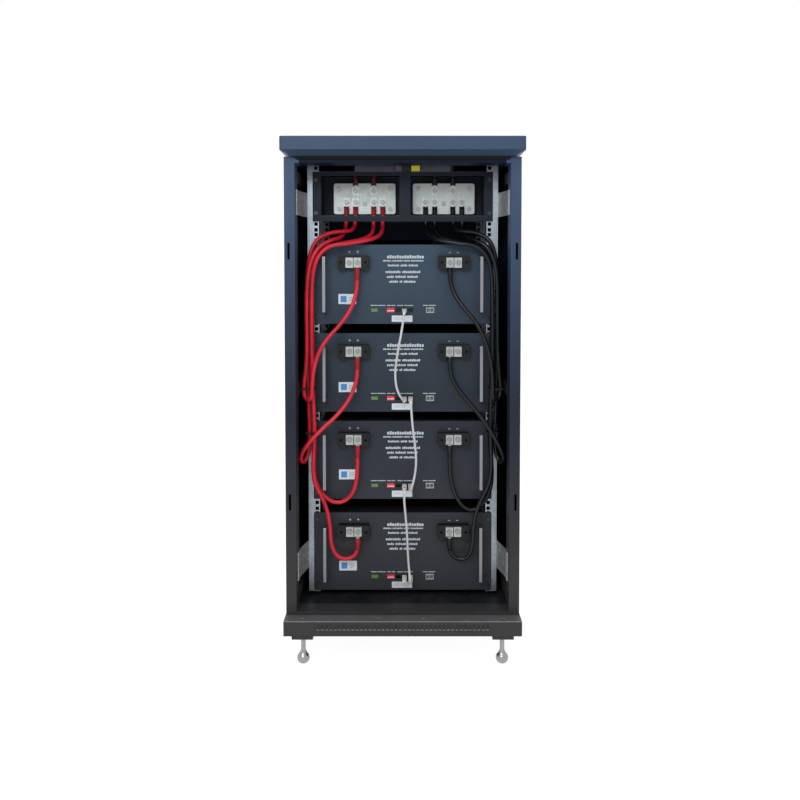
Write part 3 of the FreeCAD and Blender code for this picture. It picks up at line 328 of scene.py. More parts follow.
def cable_skin(name, color, roughness, sheen_color):
    """Flexible cable jacket: a faintly uneven skin with patches of sheen."""
    n = Nodes(name)
    patches = n.noise(16.0, 4.0)
    base = n.ramp(patches, [(0.3, shade(color, 0.88)), (0.72, sheen_color)])
    n.link(base, n.shader.inputs["Base Color"])
    n.vary_roughness(roughness, 70.0, most=1.25)
    n.shader.inputs["Specular IOR Level"].default_value = 0.28
    n.shader.inputs["Coat Weight"].default_value = 0.06
    n.shader.inputs["Coat Roughness"].default_value = 0.2
    n.bump(n.noise(260.0, 2.0), 0.2, 0.15 * MM)
    return n.material


def banded(n, axis, edges, colors):
    """A colour that changes at set places along one axis: for parts of several colours."""
    place = n.part(n.place, axis)
    color = colors[0]
    for edge, following in zip(edges, colors[1:]):
        color = n.mix(n.calculate("GREATER_THAN", place, edge), color, following)
    return color


def banded_plastic(name, axis, edges, colors, roughness):
    """Small moulded parts of several colours, with the faint flow marks of plastic."""
    n = Nodes(name)
    color = banded(n, axis, edges, colors)
    flow = n.ramp(n.noise(60.0), [(0.25, (0.86, 0.86, 0.86)), (0.75, (1.0, 1.0, 1.0))])
    tinted = n.mix(n.noise(30.0), color, flow, "MULTIPLY")
    n.link(tinted, n.shader.inputs["Base Color"])
    n.vary_roughness(roughness, 90.0)
    n.bump(n.noise(500.0, 2.0), 0.12, 0.1 * MM)
    return n.material


# The heights, in metres, between which the zinc brackets of the carriers are.
BRACKET_EDGES = (0.190, 0.275, 1.140, 1.215)


def carrier_finish(name):
    """Zinc plated rail brackets on side members that are painted black."""
    n = Nodes(name)
    off, on = (0, 0, 0), (1, 1, 1)
    plated = banded(n, "Z", BRACKET_EDGES, (off, on, off, on, off))
    zinc = n.ramp(n.crystals(110.0), [(0.2, (0.38, 0.39, 0.39)), (0.8, (0.52, 0.53, 0.53))])
    black = n.ramp(n.noise(20.0), [(0.3, (0.010, 0.011, 0.014)), (0.7, (0.016, 0.017, 0.021))])
    n.link(n.mix(plated, black, zinc), n.shader.inputs["Base Color"])
    n.link(n.span(plated, 0.0, 0.85), n.shader.inputs["Metallic"])
    n.link(n.span(n.noise(60.0), 0.4, 0.55), n.shader.inputs["Roughness"])
    n.bump(n.noise(300.0), 0.15, 0.1 * MM)
    return n.material


def display_glass(name):
    """The charge display: green segments behind a dark window."""
    n = Nodes(name)
    segment_width = 3.0 * MM
    steps = n.calculate("MULTIPLY", n.part(n.place, "X"), 1 / segment_width)
    wave = n.calculate("FRACT", steps)
    lit = n.ramp(wave, [(0.2, (0.02, 0.05, 0.012)), (0.4, (0.08, 0.20, 0.035))])
    n.link(lit, n.shader.inputs["Base Color"])
    n.link(lit, n.shader.inputs["Emission Color"])
    n.shader.inputs["Emission Strength"].default_value = 0.15
    n.link(n.span(n.noise(90.0), 0.15, 0.3), n.shader.inputs["Roughness"])
    return n.material


# Paint colours: TOP at the top, TONES at the bottom and half way up. The change with height is a
# painted reflection: bluer and lighter at the top, darker towards the bottom.
CABINET_TOP = (0.031, 0.052, 0.092)
FRAME_TOP = (0.036, 0.061, 0.112)
CABINET_SHADE_TONES = ((0.028, 0.027, 0.028), (0.0115, 0.016, 0.027))
MODULE_TOP = (0.038, 0.066, 0.100)
MODULE_SHADE_TONES = ((0.030, 0.031, 0.036), (0.020, 0.026, 0.036))
# Where the colour changes along a small part, in metres: across from the data sockets to the
# contact socket, back from the switches' levers to their body, and across the clamps.
SOCKET_EDGES = (60 * MM,)
LEVER_EDGES = (-148.7 * MM,)
CLAMP_EDGES = (-3.2 * MM, 21.5 * MM)


def make_materials():
    """Every material by its short name."""
    black = (0.004, 0.004, 0.005)
    return {
        "cabinet": paint("cabinet_paint", CABINET_TOP, 0.42, CABINET_SHADE_TONES, dust=0.06),
        "frame": paint("frame_paint", FRAME_TOP, 0.42, CABINET_SHADE_TONES, header=True),
        # The plinth's lighter top faces and lighter top edges are painted highlights.
        "plinth": paint("plinth_paint", (0.030, 0.030, 0.032), 0.45, dust=0.2,
                        lit_top_color=(0.070, 0.070, 0.075), highlight_color=(0.46, 0.46, 0.48)),
        "floor": paint("floor_panel_paint", (0.006, 0.008, 0.010), 0.5, dust=0.08),
        "panel": paint("side_panel_paint", CABINET_TOP, 0.48, CABINET_SHADE_TONES),
        "module": paint("module_paint", MODULE_TOP, 0.5, MODULE_SHADE_TONES),
        "case": paint("module_case_paint", (0.014, 0.015, 0.018), 0.45),
        # The drawer's lighter top edges are a painted highlight.
        "drawer": paint("drawer_paint", (0.009, 0.013, 0.022), 0.5,
                        highlight_color=(0.12, 0.14, 0.18)),
        "galvanised": metal("galvanised_steel", (0.36, 0.40, 0.44), 0.42, spangle=160.0),
        "carrier": carrier_finish("carrier_finish"),
        # Painted shade: the mounting bar lies under the cap, so it gets a darker steel than the
        # galvanised parts.
        "bar": metal("shaded_mounting_bar", (0.10, 0.11, 0.13), 0.45),
        "foot": metal("nickel_foot", (0.34, 0.335, 0.33), 0.26, lines=(30.0, 30.0, 700.0)),
        "handle": metal("handle_aluminium", (0.25, 0.25, 0.27), 0.42, lines=(900.0, 900.0, 20.0)),
        "tinned": metal("tinned_copper", (0.42, 0.46, 0.45), 0.5, lines=(14.0, 500.0, 900.0)),
        "lug": metal("tinned_lug", (0.42, 0.44, 0.43), 0.34, lines=(400.0, 400.0, 90.0)),
        "bolt": metal("bolt_steel", (0.26, 0.27, 0.27), 0.35, lines=(300.0, 300.0, 300.0)),
        "screw": metal("blackened_screw", (0.05, 0.05, 0.055), 0.4, lines=(300.0, 300.0, 300.0)),
        "black_plastic": plastic("black_plastic", black, 0.42),
        "white_plastic": plastic("white_plastic", (0.56, 0.55, 0.53), 0.38),
        "insulator": plastic("resin_standoff", (0.36, 0.05, 0.03), 0.35, coat=0.3),
        "board": plastic("board_green", (0.02, 0.16, 0.07), 0.45),
        "cell": metal("cell_case", (0.10, 0.22, 0.45), 0.4, lines=(60.0, 60.0, 60.0)),
        "sockets": banded_plastic("data_sockets", "X", SOCKET_EDGES,
                                  [black, (0.26, 0.28, 0.28)], 0.4),
        "switches": banded_plastic("address_switches", "Y", LEVER_EDGES,
                                   [(0.80, 0.78, 0.76), (0.55, 0.02, 0.035)], 0.4),
        "display": display_glass("charge_display"),
        "output": banded_plastic("output_blocks", "X", CLAMP_EDGES,
                                 [(0.09, 0.07, 0.11), (0.01, 0.01, 0.012), (0.62, 0.54, 0.04)], 0.4),
        "red": cable_skin("red_jacket", (0.42, 0.008, 0.020), 0.34, (0.54, 0.015, 0.032)),
        "black": cable_skin("black_jacket", (0.003, 0.004, 0.005), 0.28, (0.006, 0.007, 0.010)),
        "white": cable_skin("white_jacket", (0.40, 0.40, 0.41), 0.42, (0.50, 0.50, 0.51)),
        "red_sleeve": plastic("red_sleeve", (0.24, 0.010, 0.014), 0.55, grain=300.0),
        # Painted shade: darker copies of the red jacket and sleeve for the output leads under the cap.
        "shaded_red": cable_skin("shaded_red_jacket", (0.13, 0.005, 0.009), 0.40, (0.17, 0.008, 0.012)),
        "shaded_red_sleeve": plastic("shaded_red_sleeve", (0.060, 0.005, 0.008), 0.55, grain=300.0),
        "black_sleeve": plastic("black_sleeve", (0.006, 0.006, 0.008), 0.55, grain=300.0),
        "ink": plastic("white_ink", (0.42, 0.46, 0.48), 0.6, grain=1500.0, depth=0.05),
        "sticker": plastic("sticker_paper", (0.52, 0.57, 0.60), 0.5, grain=1200.0, depth=0.05),
        "sticker_blue": plastic("sticker_blue", (0.05, 0.20, 0.46), 0.5, grain=1200.0, depth=0.05),
        "foam": plastic("filter_foam", (0.006, 0.006, 0.007), 0.9, grain=700.0, depth=0.5),
        # Painted shade: filter foam behind the plinth's slots that stands in for the shade inside the
        # plinth.
        "plinth_shade_foam": plastic("plinth_shade_filter_foam", (0.045, 0.045, 0.047), 0.9, grain=700.0, depth=0.5),
        "sticker_grey": plastic("sticker_grey", (0.30, 0.32, 0.33), 0.5, grain=1200.0, depth=0.05),
    }


# Which material each CAD node wears.
NODE_LOOKS = {
    "cabinet": ["top_cover", "rear_frame", "foot_brackets", "rear_door"],
    "frame": ["front_frame"],
    "plinth": ["base_plinth"],
    "floor": ["floor_panel"],
    "panel": ["side_panel_left", "side_panel_right"],
    "module": ["module_one_front", "module_two_front", "module_three_front", "module_four_front"],
    "case": ["module_one_case", "module_two_case", "module_three_case", "module_four_case"],
    "drawer": ["busbar_tray"],
    "galvanised": ["rail_front_left", "rail_front_right", "rails_rear", "support_angles"],
    "bar": ["output_bar"],
    "carrier": ["rail_carriers"],
    "foot": ["foot_front_left", "foot_front_right", "foot_rear_left", "foot_rear_right"],
    "handle": ["module_handles"],
    "tinned": ["busbar_positive", "busbar_negative", "terminal_pads"],
    "lug": ["power_lugs"],
    "bolt": ["power_bolts", "rear_hinge_pins"],
    "screw": ["rack_screws"],
    "black_plastic": ["terminal_blocks", "cable_ties", "rear_door_handle"],
    "white_plastic": ["comm_plugs"],
    "insulator": ["busbar_insulators"],
    "board": ["bms_boards"],
    "cell": ["battery_cells"],
    "sockets": ["comm_sockets"],
    "switches": ["address_switches"],
    "display": ["soc_displays"],
    "output": ["output_terminals"],
}


def dress_nodes(looks):
    """Gives each CAD node its material."""
    for look, names in NODE_LOOKS.items():
        for name in names:
            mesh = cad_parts[name].data
            mesh.materials.clear()
            mesh.materials.append(looks[look])


# ---------------------------------------------------------------- leads

# The leads' places and routes are in millimetres: x to the right, y to the back, z up.
LEAD_RADIUS = 5.5
DATA_RADIUS = 3.0
# The heights of the four modules' middles.
MIDDLES = (966.2, 728.1, 489.95, 239.1)
# The busbars' middles, and how far from them the lugs of leads 1 to 4 sit on the positive bar.
# The negative bar has them the other way round.
BAR_CENTRES = {"positive": -105.0, "negative": 113.0}
LUG_OFFSETS = {1: -50.0, 2: -25.0, 3: 25.0, 4: 50.0}
OUTPUT_OFFSETS = (-25.0, 25.0)
STUD_SPOTS = {"positive": -121.0, "negative": 126.0}
# The y at which leads end: in front of the terminals, of the busbars and of the plugs.
TERMINAL_PLANE, BAR_PLANE, PLUG_TIP = -167.3, -88.3, -181.0
# The heights at which leads leave the busbars' lower and upper lugs.
LUG_HEIGHT, OUTPUT_LUG_HEIGHT = 1160.15, 1255.15
# How far the terminals' lugs are above a module's middle and the data ports below it.
TERMINAL_RISE, PORT_DROP = 26.5, 69.5
# How far a lead runs straight out of a busbar lug, a terminal lug and an output lug.
LUG_RUN, TERMINAL_RUN, OUTPUT_RUN = 27, 21, 18
# The x of a black lead is this much less the x of the red one: at its lug and at its trunk.
MIRROR_TOP, MIRROR_TRUNK = 8.0, -3.0

# The red leads from the top down. FAN spreads from the busbar lugs to the trunk, TRUNK runs
# down beside the rail, and LOOP turns back up and crosses to the module's terminal.
FAN_RED = {
    1: [(-160, -106, 1103), (-170, -136, 1090), (-192, -165, 1084), (-225, -180, 1064),
        (-247, -183, 1020), (-254, -182, 960)],
    2: [(-137, -106, 1112), (-157, -124, 1109), (-192, -141, 1106), (-229, -156, 1089),
        (-248, -162, 1048), (-254, -167, 990)],
    3: [(-82, -106, 1105), (-94, -136, 1092), (-124, -158, 1082), (-168, -166, 1074),
        (-209, -168, 1066), (-234, -168, 1029), (-241, -168, 970)],
    4: [(-57, -105, 1106), (-68, -136, 1093), (-96, -166, 1083), (-146, -180, 1074),
        (-192, -183, 1070), (-226, -183, 1042), (-240, -182, 985)],
}
TRUNK_RED = {
    1: [(-255, -181, 880), (-254, -180, 790), (-258, -182, 735), (-262, -186, 700)],
    2: [(-255, -167, 880), (-253, -168, 785), (-254, -167, 700), (-250, -168, 620),
        (-249, -168, 565)],
    3: [(-241, -167, 880), (-240, -168, 760), (-240, -167, 660), (-235, -168, 590),
        (-236, -167, 520), (-239, -167, 470), (-233, -168, 432), (-215, -169, 400)],
    4: [(-242, -181, 880), (-241, -181, 780), (-240, -180, 690), (-235, -181, 600),
        (-237, -181, 520), (-240, -181, 465), (-232, -181, 427), (-214, -182, 396),
        (-200, -182, 358), (-194, -181, 316), (-193, -177, 274)],
}
LOOP_RED = {
    1: [(-262, -186, 675), (-255, -193, 663), (-245, -203, 663), (-238, -210, 675),
        (-238, -210, 700), (-234, -207, 745), (-221, -203, 790), (-196, -196, 828),
        (-163, -187, 862), (-136, -178, 902), (-124, -171, 940)],
    2: [(-250, -169, 530), (-255, -170, 505), (-264, -182, 491), (-271, -197, 503),
        (-263, -207, 529), (-241, -209, 558), (-211, -203, 588), (-176, -193, 618),
        (-144, -181, 656), (-125, -171, 700)],
    3: [(-190, -169, 381), (-160, -170, 381), (-135, -170, 402), (-123, -169, 440)],
    4: [(-182, -173, 240), (-161, -171, 226), (-139, -168, 228)],
}
# The black leads take the red fan's mirror image. Their trunk, which is close to the mirror image
# of the red one, and their loops have routes of their own.
TRUNK_BLACK = {
    1: [(251, -181, 880), (252, -180, 790), (256, -182, 735), (259, -186, 700)],
    2: [(252, -167, 880), (250, -168, 785), (251, -167, 700), (248, -168, 620),
        (246, -168, 565)],
    3: [(238, -167, 880), (237, -168, 760), (236, -167, 665), (232, -168, 590),
        (235, -167, 520), (240, -167, 470), (238, -168, 424), (226, -168, 390)],
    4: [(238, -181, 880), (239, -181, 780), (236, -180, 690), (233, -181, 600),
        (236, -181, 520), (237, -181, 470), (229, -181, 428), (211, -182, 396),
        (196, -182, 360), (189, -181, 318), (188, -177, 274)],
}
LOOP_BLACK = {
    1: [(259, -186, 675), (252, -193, 663), (242, -203, 663), (235, -210, 675),
        (236, -210, 702), (234, -207, 748), (225, -204, 795), (209, -201, 838),
        (190, -194, 872), (163, -185, 902), (138, -174, 937)],
    2: [(247, -169, 530), (252, -170, 505), (261, -182, 491), (268, -197, 503),
        (260, -207, 530), (244, -209, 560), (224, -203, 594), (198, -194, 628),
        (167, -183, 663), (138, -173, 701)],
    3: [(206, -168, 368), (187, -169, 357), (161, -170, 369), (140, -170, 401),
        (128, -169, 446)],
    4: [(181, -173, 238), (163, -171, 225), (143, -168, 228)],
}
# Where each data lead starts and ends: module and port, then module and port.
COMM_ENDS = {1: (0, 4.5, 1, 4.5), 2: (1, 21.0, 2, 21.0), 3: (2, 4.5, 3, 21.0)}
COMM_ROUTES = {
    1: [(4.5, -192, 896), (3, -203, 888), (1, -209, 870), (-4, -208, 838), (-13, -203, 790),
        (-20, -197, 742), (-19, -197, 707), (-12, -204, 682), (-3, -208, 668), (3, -202, 660),
        (4.5, -192, 658)],
    2: [(21, -192, 658), (22, -203, 650), (23, -209, 633), (25, -208, 602), (31, -202, 556),
        (36, -197, 508), (34, -197, 472), (28, -204, 445), (23, -208, 430), (21.5, -202, 422),
        (21, -192, 420)],
    3: [(4.5, -192, 420), (4, -203, 412), (4, -209, 394), (7, -208, 362), (11, -202, 316),
        (13, -197, 268), (15, -197, 230), (18, -204, 198), (20, -208, 182), (21, -202, 173),
        (21, -192, 170)],
}
# The four leads that rise from the busbars to the clamps behind the mounting rail.
OUTPUT_ROUTES = {
    "positive": [
        [(-123, -96, 1302), (-98, -108, 1315), (-66, -121, 1305), (-45, -128, 1283),
         (-19, -128, 1283)],
        [(-73, -99, 1290), (-56, -115, 1290), (-41, -128, 1271), (-19, -128, 1271)],
    ],
    "negative": [
        [(83, -101, 1290), (72, -117, 1287), (62, -128, 1271), (45, -128, 1271)],
        [(133, -97, 1302), (112, -109, 1315), (86, -121, 1305), (68, -128, 1283),
         (45, -128, 1283)],
    ],
}


def raised(point, rise):
    """The point straight above another, or below it when the rise is negative."""
    x, y, z = point
    return (x, y, z + rise)


def mirrored(points, first_shift, last_shift):
    """The same stretch of route on the right-hand side, eased from one shift to another."""
    step = (last_shift - first_shift) / (len(points) - 1)
    return [(first_shift + step * i - x, y, z) for i, (x, y, z) in enumerate(points)]


def busbar_exit(pole, offset, height):
    """Where a lead leaves its lug on a busbar."""
    return (BAR_CENTRES[pole] + offset, BAR_PLANE, height)


def power_route(pole, number):
    """From a busbar lug down to the terminal of one module."""
    if pole == "positive":
        offset = LUG_OFFSETS[number]
        middle = FAN_RED[number] + TRUNK_RED[number] + LOOP_RED[number]
    else:
        offset = -LUG_OFFSETS[number]
        fan = mirrored(FAN_RED[number], MIRROR_TOP, MIRROR_TRUNK)
        middle = fan + TRUNK_BLACK[number] + LOOP_BLACK[number]
    top = busbar_exit(pole, offset, LUG_HEIGHT)
    bottom = (STUD_SPOTS[pole], TERMINAL_PLANE, MIDDLES[number - 1] + TERMINAL_RISE)
    return [top, raised(top, -LUG_RUN)] + middle + [raised(bottom, -TERMINAL_RUN), bottom]


def output_route(pole, index):
    """From a busbar up and over to the mounting rail."""
    start = busbar_exit(pole, OUTPUT_OFFSETS[index], OUTPUT_LUG_HEIGHT)
    return [start, raised(start, OUTPUT_RUN)] + OUTPUT_ROUTES[pole][index]


def data_route(number):
    """From a port of one module to a port of the module below."""
    upper, first_port, lower, last_port = COMM_ENDS[number]
    start = (first_port, PLUG_TIP, MIDDLES[upper] - PORT_DROP)
    end = (last_port, PLUG_TIP, MIDDLES[lower] - PORT_DROP)
    return [start] + COMM_ROUTES[number] + [end]


def make_flex(name, route, radius, material):
    """One cord: a NURBS curve whose control points are the route's points."""
    data = bpy.data.curves.new(name, "CURVE")
    data.dimensions = "3D"
    spline = data.splines.new("NURBS")
    spline.points.add(len(route) - 1)
    for point, (x, y, z) in zip(spline.points, route):
        point.co = (x * MM, y * MM, z * MM, 1.0)
    spline.order_u = 3
    spline.use_endpoint_u = True
    spline.resolution_u = 10
    data.bevel_depth = radius * MM
    data.bevel_resolution = 5
    data.use_fill_caps = True
    data.materials.append(material)
    flex = bpy.data.objects.new(name, data)
    bpy.context.collection.objects.link(flex)
    return flex


def centreline(flex):
    """The points along a cord's own smooth line."""
    depth = flex.data.bevel_depth
    flex.data.bevel_depth = 0.0
    flex.data.use_fill_caps = False
    bpy.context.view_layer.update()
    line = bpy.data.meshes.new_from_object(flex)
    points = [vertex.co.copy() for vertex in line.vertices]
    bpy.data.meshes.remove(line)
    flex.data.bevel_depth = depth
    flex.data.use_fill_caps = True
    return points


def along(points, distance):
    """The place and direction at a distance along a line."""
    for start, end in zip(points, points[1:]):
        run = (end - start).length
        if distance <= run:
            return start.lerp(end, distance / run), (end - start).normalized()
        distance -= run
    return points[-1], (points[-1] - points[-2]).normalized()


def around(sides):
    """The cosine and sine of evenly spaced angles round a circle."""
    angles = [2 * math.pi * i / sides for i in range(sides)]
    return [(math.cos(angle), math.sin(angle)) for angle in angles]


def join_rings(mesh, rings, capped=False):
    """Walls from each ring of points to the next, and flat ends where they are capped."""
    if capped:
        mesh.faces.new(rings[0])
        mesh.faces.new(rings[-1][::-1])
    count = len(rings[0])
    for near, far in zip(rings, rings[1:]):
        for i in range(count):
            j = (i + 1) % count
            mesh.faces.new((near[i], near[j], far[j], far[i]))


# How many sides round shapes have.
SLEEVE_SIDES, PLUG_SIDES = 28, 24
# Turned shapes along a lead's end: distance from the end, then radius, in millimetres.
SHRINK_SLEEVE = [(-18.0, 6.3), (-18.0, 7.0), (-1.0, 7.0), (1.0, 6.85), (3.0, 6.3),
                 (8.0, 6.2), (15.5, 6.2), (16.0, 5.6)]
STRAIN_RELIEF = [(-0.5, 3.1), (-0.5, 5.2), (5.0, 5.3), (9.0, 5.0), (10.0, 4.4), (11.0, 4.8),
                 (14.0, 4.6), (15.0, 4.0), (16.0, 4.4), (19.0, 4.1), (22.0, 3.6), (22.4, 3.05)]


def make_sleeve(name, points, material, profile=SHRINK_SLEEVE):
    """A sleeve that follows the end of a lead: shrink tube on a lug or a plug's strain relief."""
    first_direction = along(points, 0.5 * MM)[1]
    circle = around(SLEEVE_SIDES)
    mesh = bmesh.new()
    rings = []
    for distance, radius in profile:
        if distance < 0:
            centre, direction = points[0] + first_direction * distance * MM, first_direction
        else:
            centre, direction = along(points, distance * MM)
        across = direction.cross(Vector((0, 1, 0))).normalized()
        out = direction.cross(across)
        rings.append([mesh.verts.new(centre + (across * cosine + out * sine) * radius * MM)
                      for cosine, sine in circle])
    join_rings(mesh, rings)
    return finish_piece(name, mesh, material, HOME)


def finish_piece(name, mesh, material, body, smooth=True):
    """Turns a bmesh into an object that rides on a body."""
    bmesh.ops.recalc_face_normals(mesh, faces=mesh.faces)
    data = bpy.data.meshes.new(name)
    mesh.to_mesh(data)
    mesh.free()
    if smooth:
        for face in data.polygons:
            face.use_smooth = True
    data.materials.append(material)
    piece = bpy.data.objects.new(name, data)
    bpy.context.collection.objects.link(piece)
    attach(piece, body)
    return piece


def declare(flex, node):
    """Hangs a cord on the cabinet and hides the CAD lead that it stands in for."""
    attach(flex, HOME)
    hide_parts(node)


# What an output lead and its sleeve are made of. The red ones lie in the shade of the cap, and their
# darker red jacket and sleeve are painted shade.
OUTPUT_LOOKS = {"positive": ("shaded_red", "shaded_red_sleeve"),
                "negative": ("black", "black_sleeve")}


def make_power_leads(pole, color, looks):
    """Four leads from one busbar to the modules, with a shrink sleeve at both ends of each."""
    tube = looks[color + "_sleeve"]
    for number in (1, 2, 3, 4):
        route = power_route(pole, number)
        flex = make_flex(f"{color}_lead_{number}", route, LEAD_RADIUS, looks[color])
        line = centreline(flex)
        sleeves = [make_sleeve(f"{color}_sleeve_{number}_top", line, tube),
                   make_sleeve(f"{color}_sleeve_{number}_low", line[::-1], tube)]
        declare(flex, f"{pole}_lead_{number}")


def make_output_leads(pole, color, looks):
    """Two leads that rise from one busbar."""
    jacket, tube = OUTPUT_LOOKS[pole]
    for index in (0, 1):
        route = output_route(pole, index)
        flex = make_flex(f"{color}_output_{index + 1}", route, LEAD_RADIUS, looks[jacket])
        sleeve = make_sleeve(f"{color}_output_sleeve_{index + 1}", centreline(flex), looks[tube])
        declare(flex, f"output_leads_{pole}")


def make_data_leads(looks):
    """Three leads that link the modules, with a strain relief on every plug."""
    boot = looks["white_plastic"]
    for number in (1, 2, 3):
        route = data_route(number)
        flex = make_flex(f"white_lead_{number}", route, DATA_RADIUS, looks["white"])
        line = centreline(flex)
        on_it = [make_sleeve(f"white_boot_{number}_top", line, boot, STRAIN_RELIEF),
                 make_sleeve(f"white_boot_{number}_low", line[::-1], boot, STRAIN_RELIEF)]
        if number == 1:
            on_it.append(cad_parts["comm_plugs"])
        declare(flex, f"comm_lead_{number}")


# ---------------------------------------------------------------- print and stickers

# The modules' front faces, and how far print and stickers stand off them, in millimetres. What is
# printed on a sticker starts within its paper.
FRONT_PLANE = -147.0
INK, PAPER, WITHIN_PAPER = 0.12, 0.2, 0.1
GREY_INK, BLUE_INK = 0.25, 0.28


def add_plate(mesh, x_low, x_high, z_low, z_high, y_back, y_front, corner):
    """A thin plate with rounded corners, facing -Y."""
    outline = []
    steps = 3
    corners = ((x_high - corner, z_high - corner, 0), (x_low + corner, z_high - corner, 90),
               (x_low + corner, z_low + corner, 180), (x_high - corner, z_low + corner, 270))
    for x, z, start in corners:
        for i in range(steps + 1):
            angle = math.radians(start + 90 * i / steps)
            outline.append((x + corner * math.cos(angle), z + corner * math.sin(angle)))
    front = [mesh.verts.new((x * MM, y_front * MM, z * MM)) for x, z in outline]
    back = [mesh.verts.new((x * MM, y_back * MM, z * MM)) for x, z in outline]
    mesh.faces.new(front)
    mesh.faces.new(back[::-1])
    count = len(outline)
    for i in range(count):
        j = (i + 1) % count
        mesh.faces.new((front[i], front[j], back[j], back[i]))


# Rows of plain blocks where the module carries print: left end, right end, height above the
# module's middle, the row's own height and the lengths of its words as shares of the row.
PRINT_ROWS = [
    (-42, 58, 74, 9.0, (1.0,)),
    (-53, 56, 63.5, 4.4, (4, 5, 3, 6)),
    (-40, 41, 51, 5.6, (5, 3, 4)),
    (-46, 48, 33.5, 6.6, (5, 6)),
    (-42, 41, 20.5, 6.2, (2, 3, 3)),
    (-36, 35, 7.5, 6.2, (3, 1, 4)),
    (-86, -46, -56.5, 2.8, (3, 4)),
    (-42, -20, -56.5, 2.8, (1, 1)),
    (-14, 28, -56.5, 2.8, (2, 1, 2)),
    (55, 89, -56.5, 2.8, (3, 4)),
]
# Heights of the blocks that stand for print, the space between words and one block with its gap,
# as shares of the row's height. Then a block's own share of that step, and its corners' share.
BLOCK_HEIGHTS = (1.0, 0.8, 0.78, 0.96, 0.8, 0.76, 0.92, 0.8)
WORD_SPACE, BLOCK_STEP = 0.55, 0.72
BLOCK_FILL, BLOCK_CORNER = 0.78, 0.12
# The middles of the pole marks, their heights above a module's middle, half their length and
# half their stroke.
PLUS_SPOTS, PLUS_RISE = (-143.0, -121.0), 87
MINUS_SPOTS, MINUS_RISE = (126.0, 148.0), 85
MARK, STROKE = 3.2, 0.7


def add_blocks(mesh, x, wide, z_low, tall, y_front):
    """A run of small plain blocks, as print looks from too far away to be read."""
    count = max(2, round(wide / (tall * BLOCK_STEP)))
    step = wide / count
    for i in range(count):
        share = BLOCK_HEIGHTS[(i + count) % len(BLOCK_HEIGHTS)]
        left = x + i * step
        add_plate(mesh, left, left + step * BLOCK_FILL, z_low, z_low + tall * share,
                  FRONT_PLANE, y_front, step * BLOCK_CORNER)


def make_print(number, middle, looks):
    """White print on a module front: rows of plain blocks and the pole marks."""
    mesh = bmesh.new()
    y_front = FRONT_PLANE - INK
    for left, right, rise, tall, shares in PRINT_ROWS:
        space = tall * WORD_SPACE
        room = right - left - space * (len(shares) - 1)
        x = left
        for share in shares:
            wide = room * share / sum(shares)
            add_blocks(mesh, x, wide, middle + rise - tall / 2, tall, y_front)
            x += wide + space
    for x in PLUS_SPOTS:
        z = middle + PLUS_RISE
        add_plate(mesh, x - MARK, x + MARK, z - STROKE, z + STROKE, FRONT_PLANE, y_front, 0.3)
        add_plate(mesh, x - STROKE, x + STROKE, z - MARK, z + MARK, FRONT_PLANE, y_front - 0.01, 0.3)
    for x in MINUS_SPOTS:
        z = middle + MINUS_RISE
        add_plate(mesh, x - MARK, x + MARK, z - STROKE, z + STROKE, FRONT_PLANE, y_front, 0.3)
    finish_piece(f"print_{number}", mesh, looks["ink"], HOME, smooth=False)


# How far the stickers' middles are below a module's middle.
LEFT_DROP, PORT_STICKER_DROP = 39.5, 92.5
# The fine bars on the stickers: the widths of the upright ones and how far apart they start, and
# the right end, lower edge and upper edge of the level ones.
UPRIGHT_BARS, UPRIGHT_STEP = (1.2, 0.6, 1.6, 0.8, 1.2, 0.6, 0.6, 1.4, 0.8, 1.2), 3.1
LEVEL_BARS = ((-131, 3.5, 5.5), (-129, -1.0, 1.0), (-134, -5.5, -3.5))


def make_stickers(number, middle, looks):
    """A sticker with a blue square on the left and a plain one below the ports."""
    left_z = middle - LEFT_DROP
    port_z = middle - PORT_STICKER_DROP
    paper_front = FRONT_PLANE - PAPER
    paper = bmesh.new()
    add_plate(paper, -173, -125, left_z - 13.5, left_z + 13.5, FRONT_PLANE, paper_front, 1.5)
    add_plate(paper, -29.5, 26, port_z - 8.5, port_z + 8.5, FRONT_PLANE, paper_front, 1.0)
    finish_piece(f"stickers_{number}", paper, looks["sticker"], HOME, smooth=False)
    print_back = FRONT_PLANE - WITHIN_PAPER
    blue = bmesh.new()
    add_plate(blue, -167, -151, left_z - 8.5, left_z + 8.5, print_back, FRONT_PLANE - BLUE_INK, 1.5)
    finish_piece(f"sticker_mark_{number}", blue, looks["sticker_blue"], HOME, smooth=False)
    bars = bmesh.new()
    bar_front = FRONT_PLANE - GREY_INK
    for i, wide in enumerate(UPRIGHT_BARS):
        x = -24 + i * UPRIGHT_STEP
        add_plate(bars, x, x + wide, port_z - 3.5, port_z + 5.0, print_back, bar_front, 0.2)
    for right, low, high in LEVEL_BARS:
        add_plate(bars, -145, right, left_z + low, left_z + high, print_back, bar_front, 0.4)
    finish_piece(f"sticker_bars_{number}", bars, looks["sticker_grey"], HOME, smooth=False)


# ---------------------------------------------------------------- filters, seals and plugs

# The foam's thickness, its ribs and the waves along it, in metres.
FOAM_THICKNESS = 3.0 * MM
RIB_STEP, RIB_DEPTH, WAVE_DEPTH = 1.0 * MM, 0.8 * MM, 0.3 * MM
# The plinth's filter, which also stands in for the shade inside the plinth as painted shade: half its
# length, how far its edges are below the ledge and how far it is behind the front, in metres.
VENT_HALF, VENT_LOW, VENT_HIGH, VENT_GAP = 0.223, 0.024, 0.006, 4.0 * MM
# The rear door's outer face and the middles of its two fields of slots, in millimetres.
DOOR_OUTER = 282.0
DOOR_VENTS = (420.0, 990.0)
# The foam behind one field: half its width, half its height and how far it is inside the face,
# in metres.
FIELD_HALF, FIELD_RISE, FIELD_GAP = 0.095, 0.112, 5.0 * MM


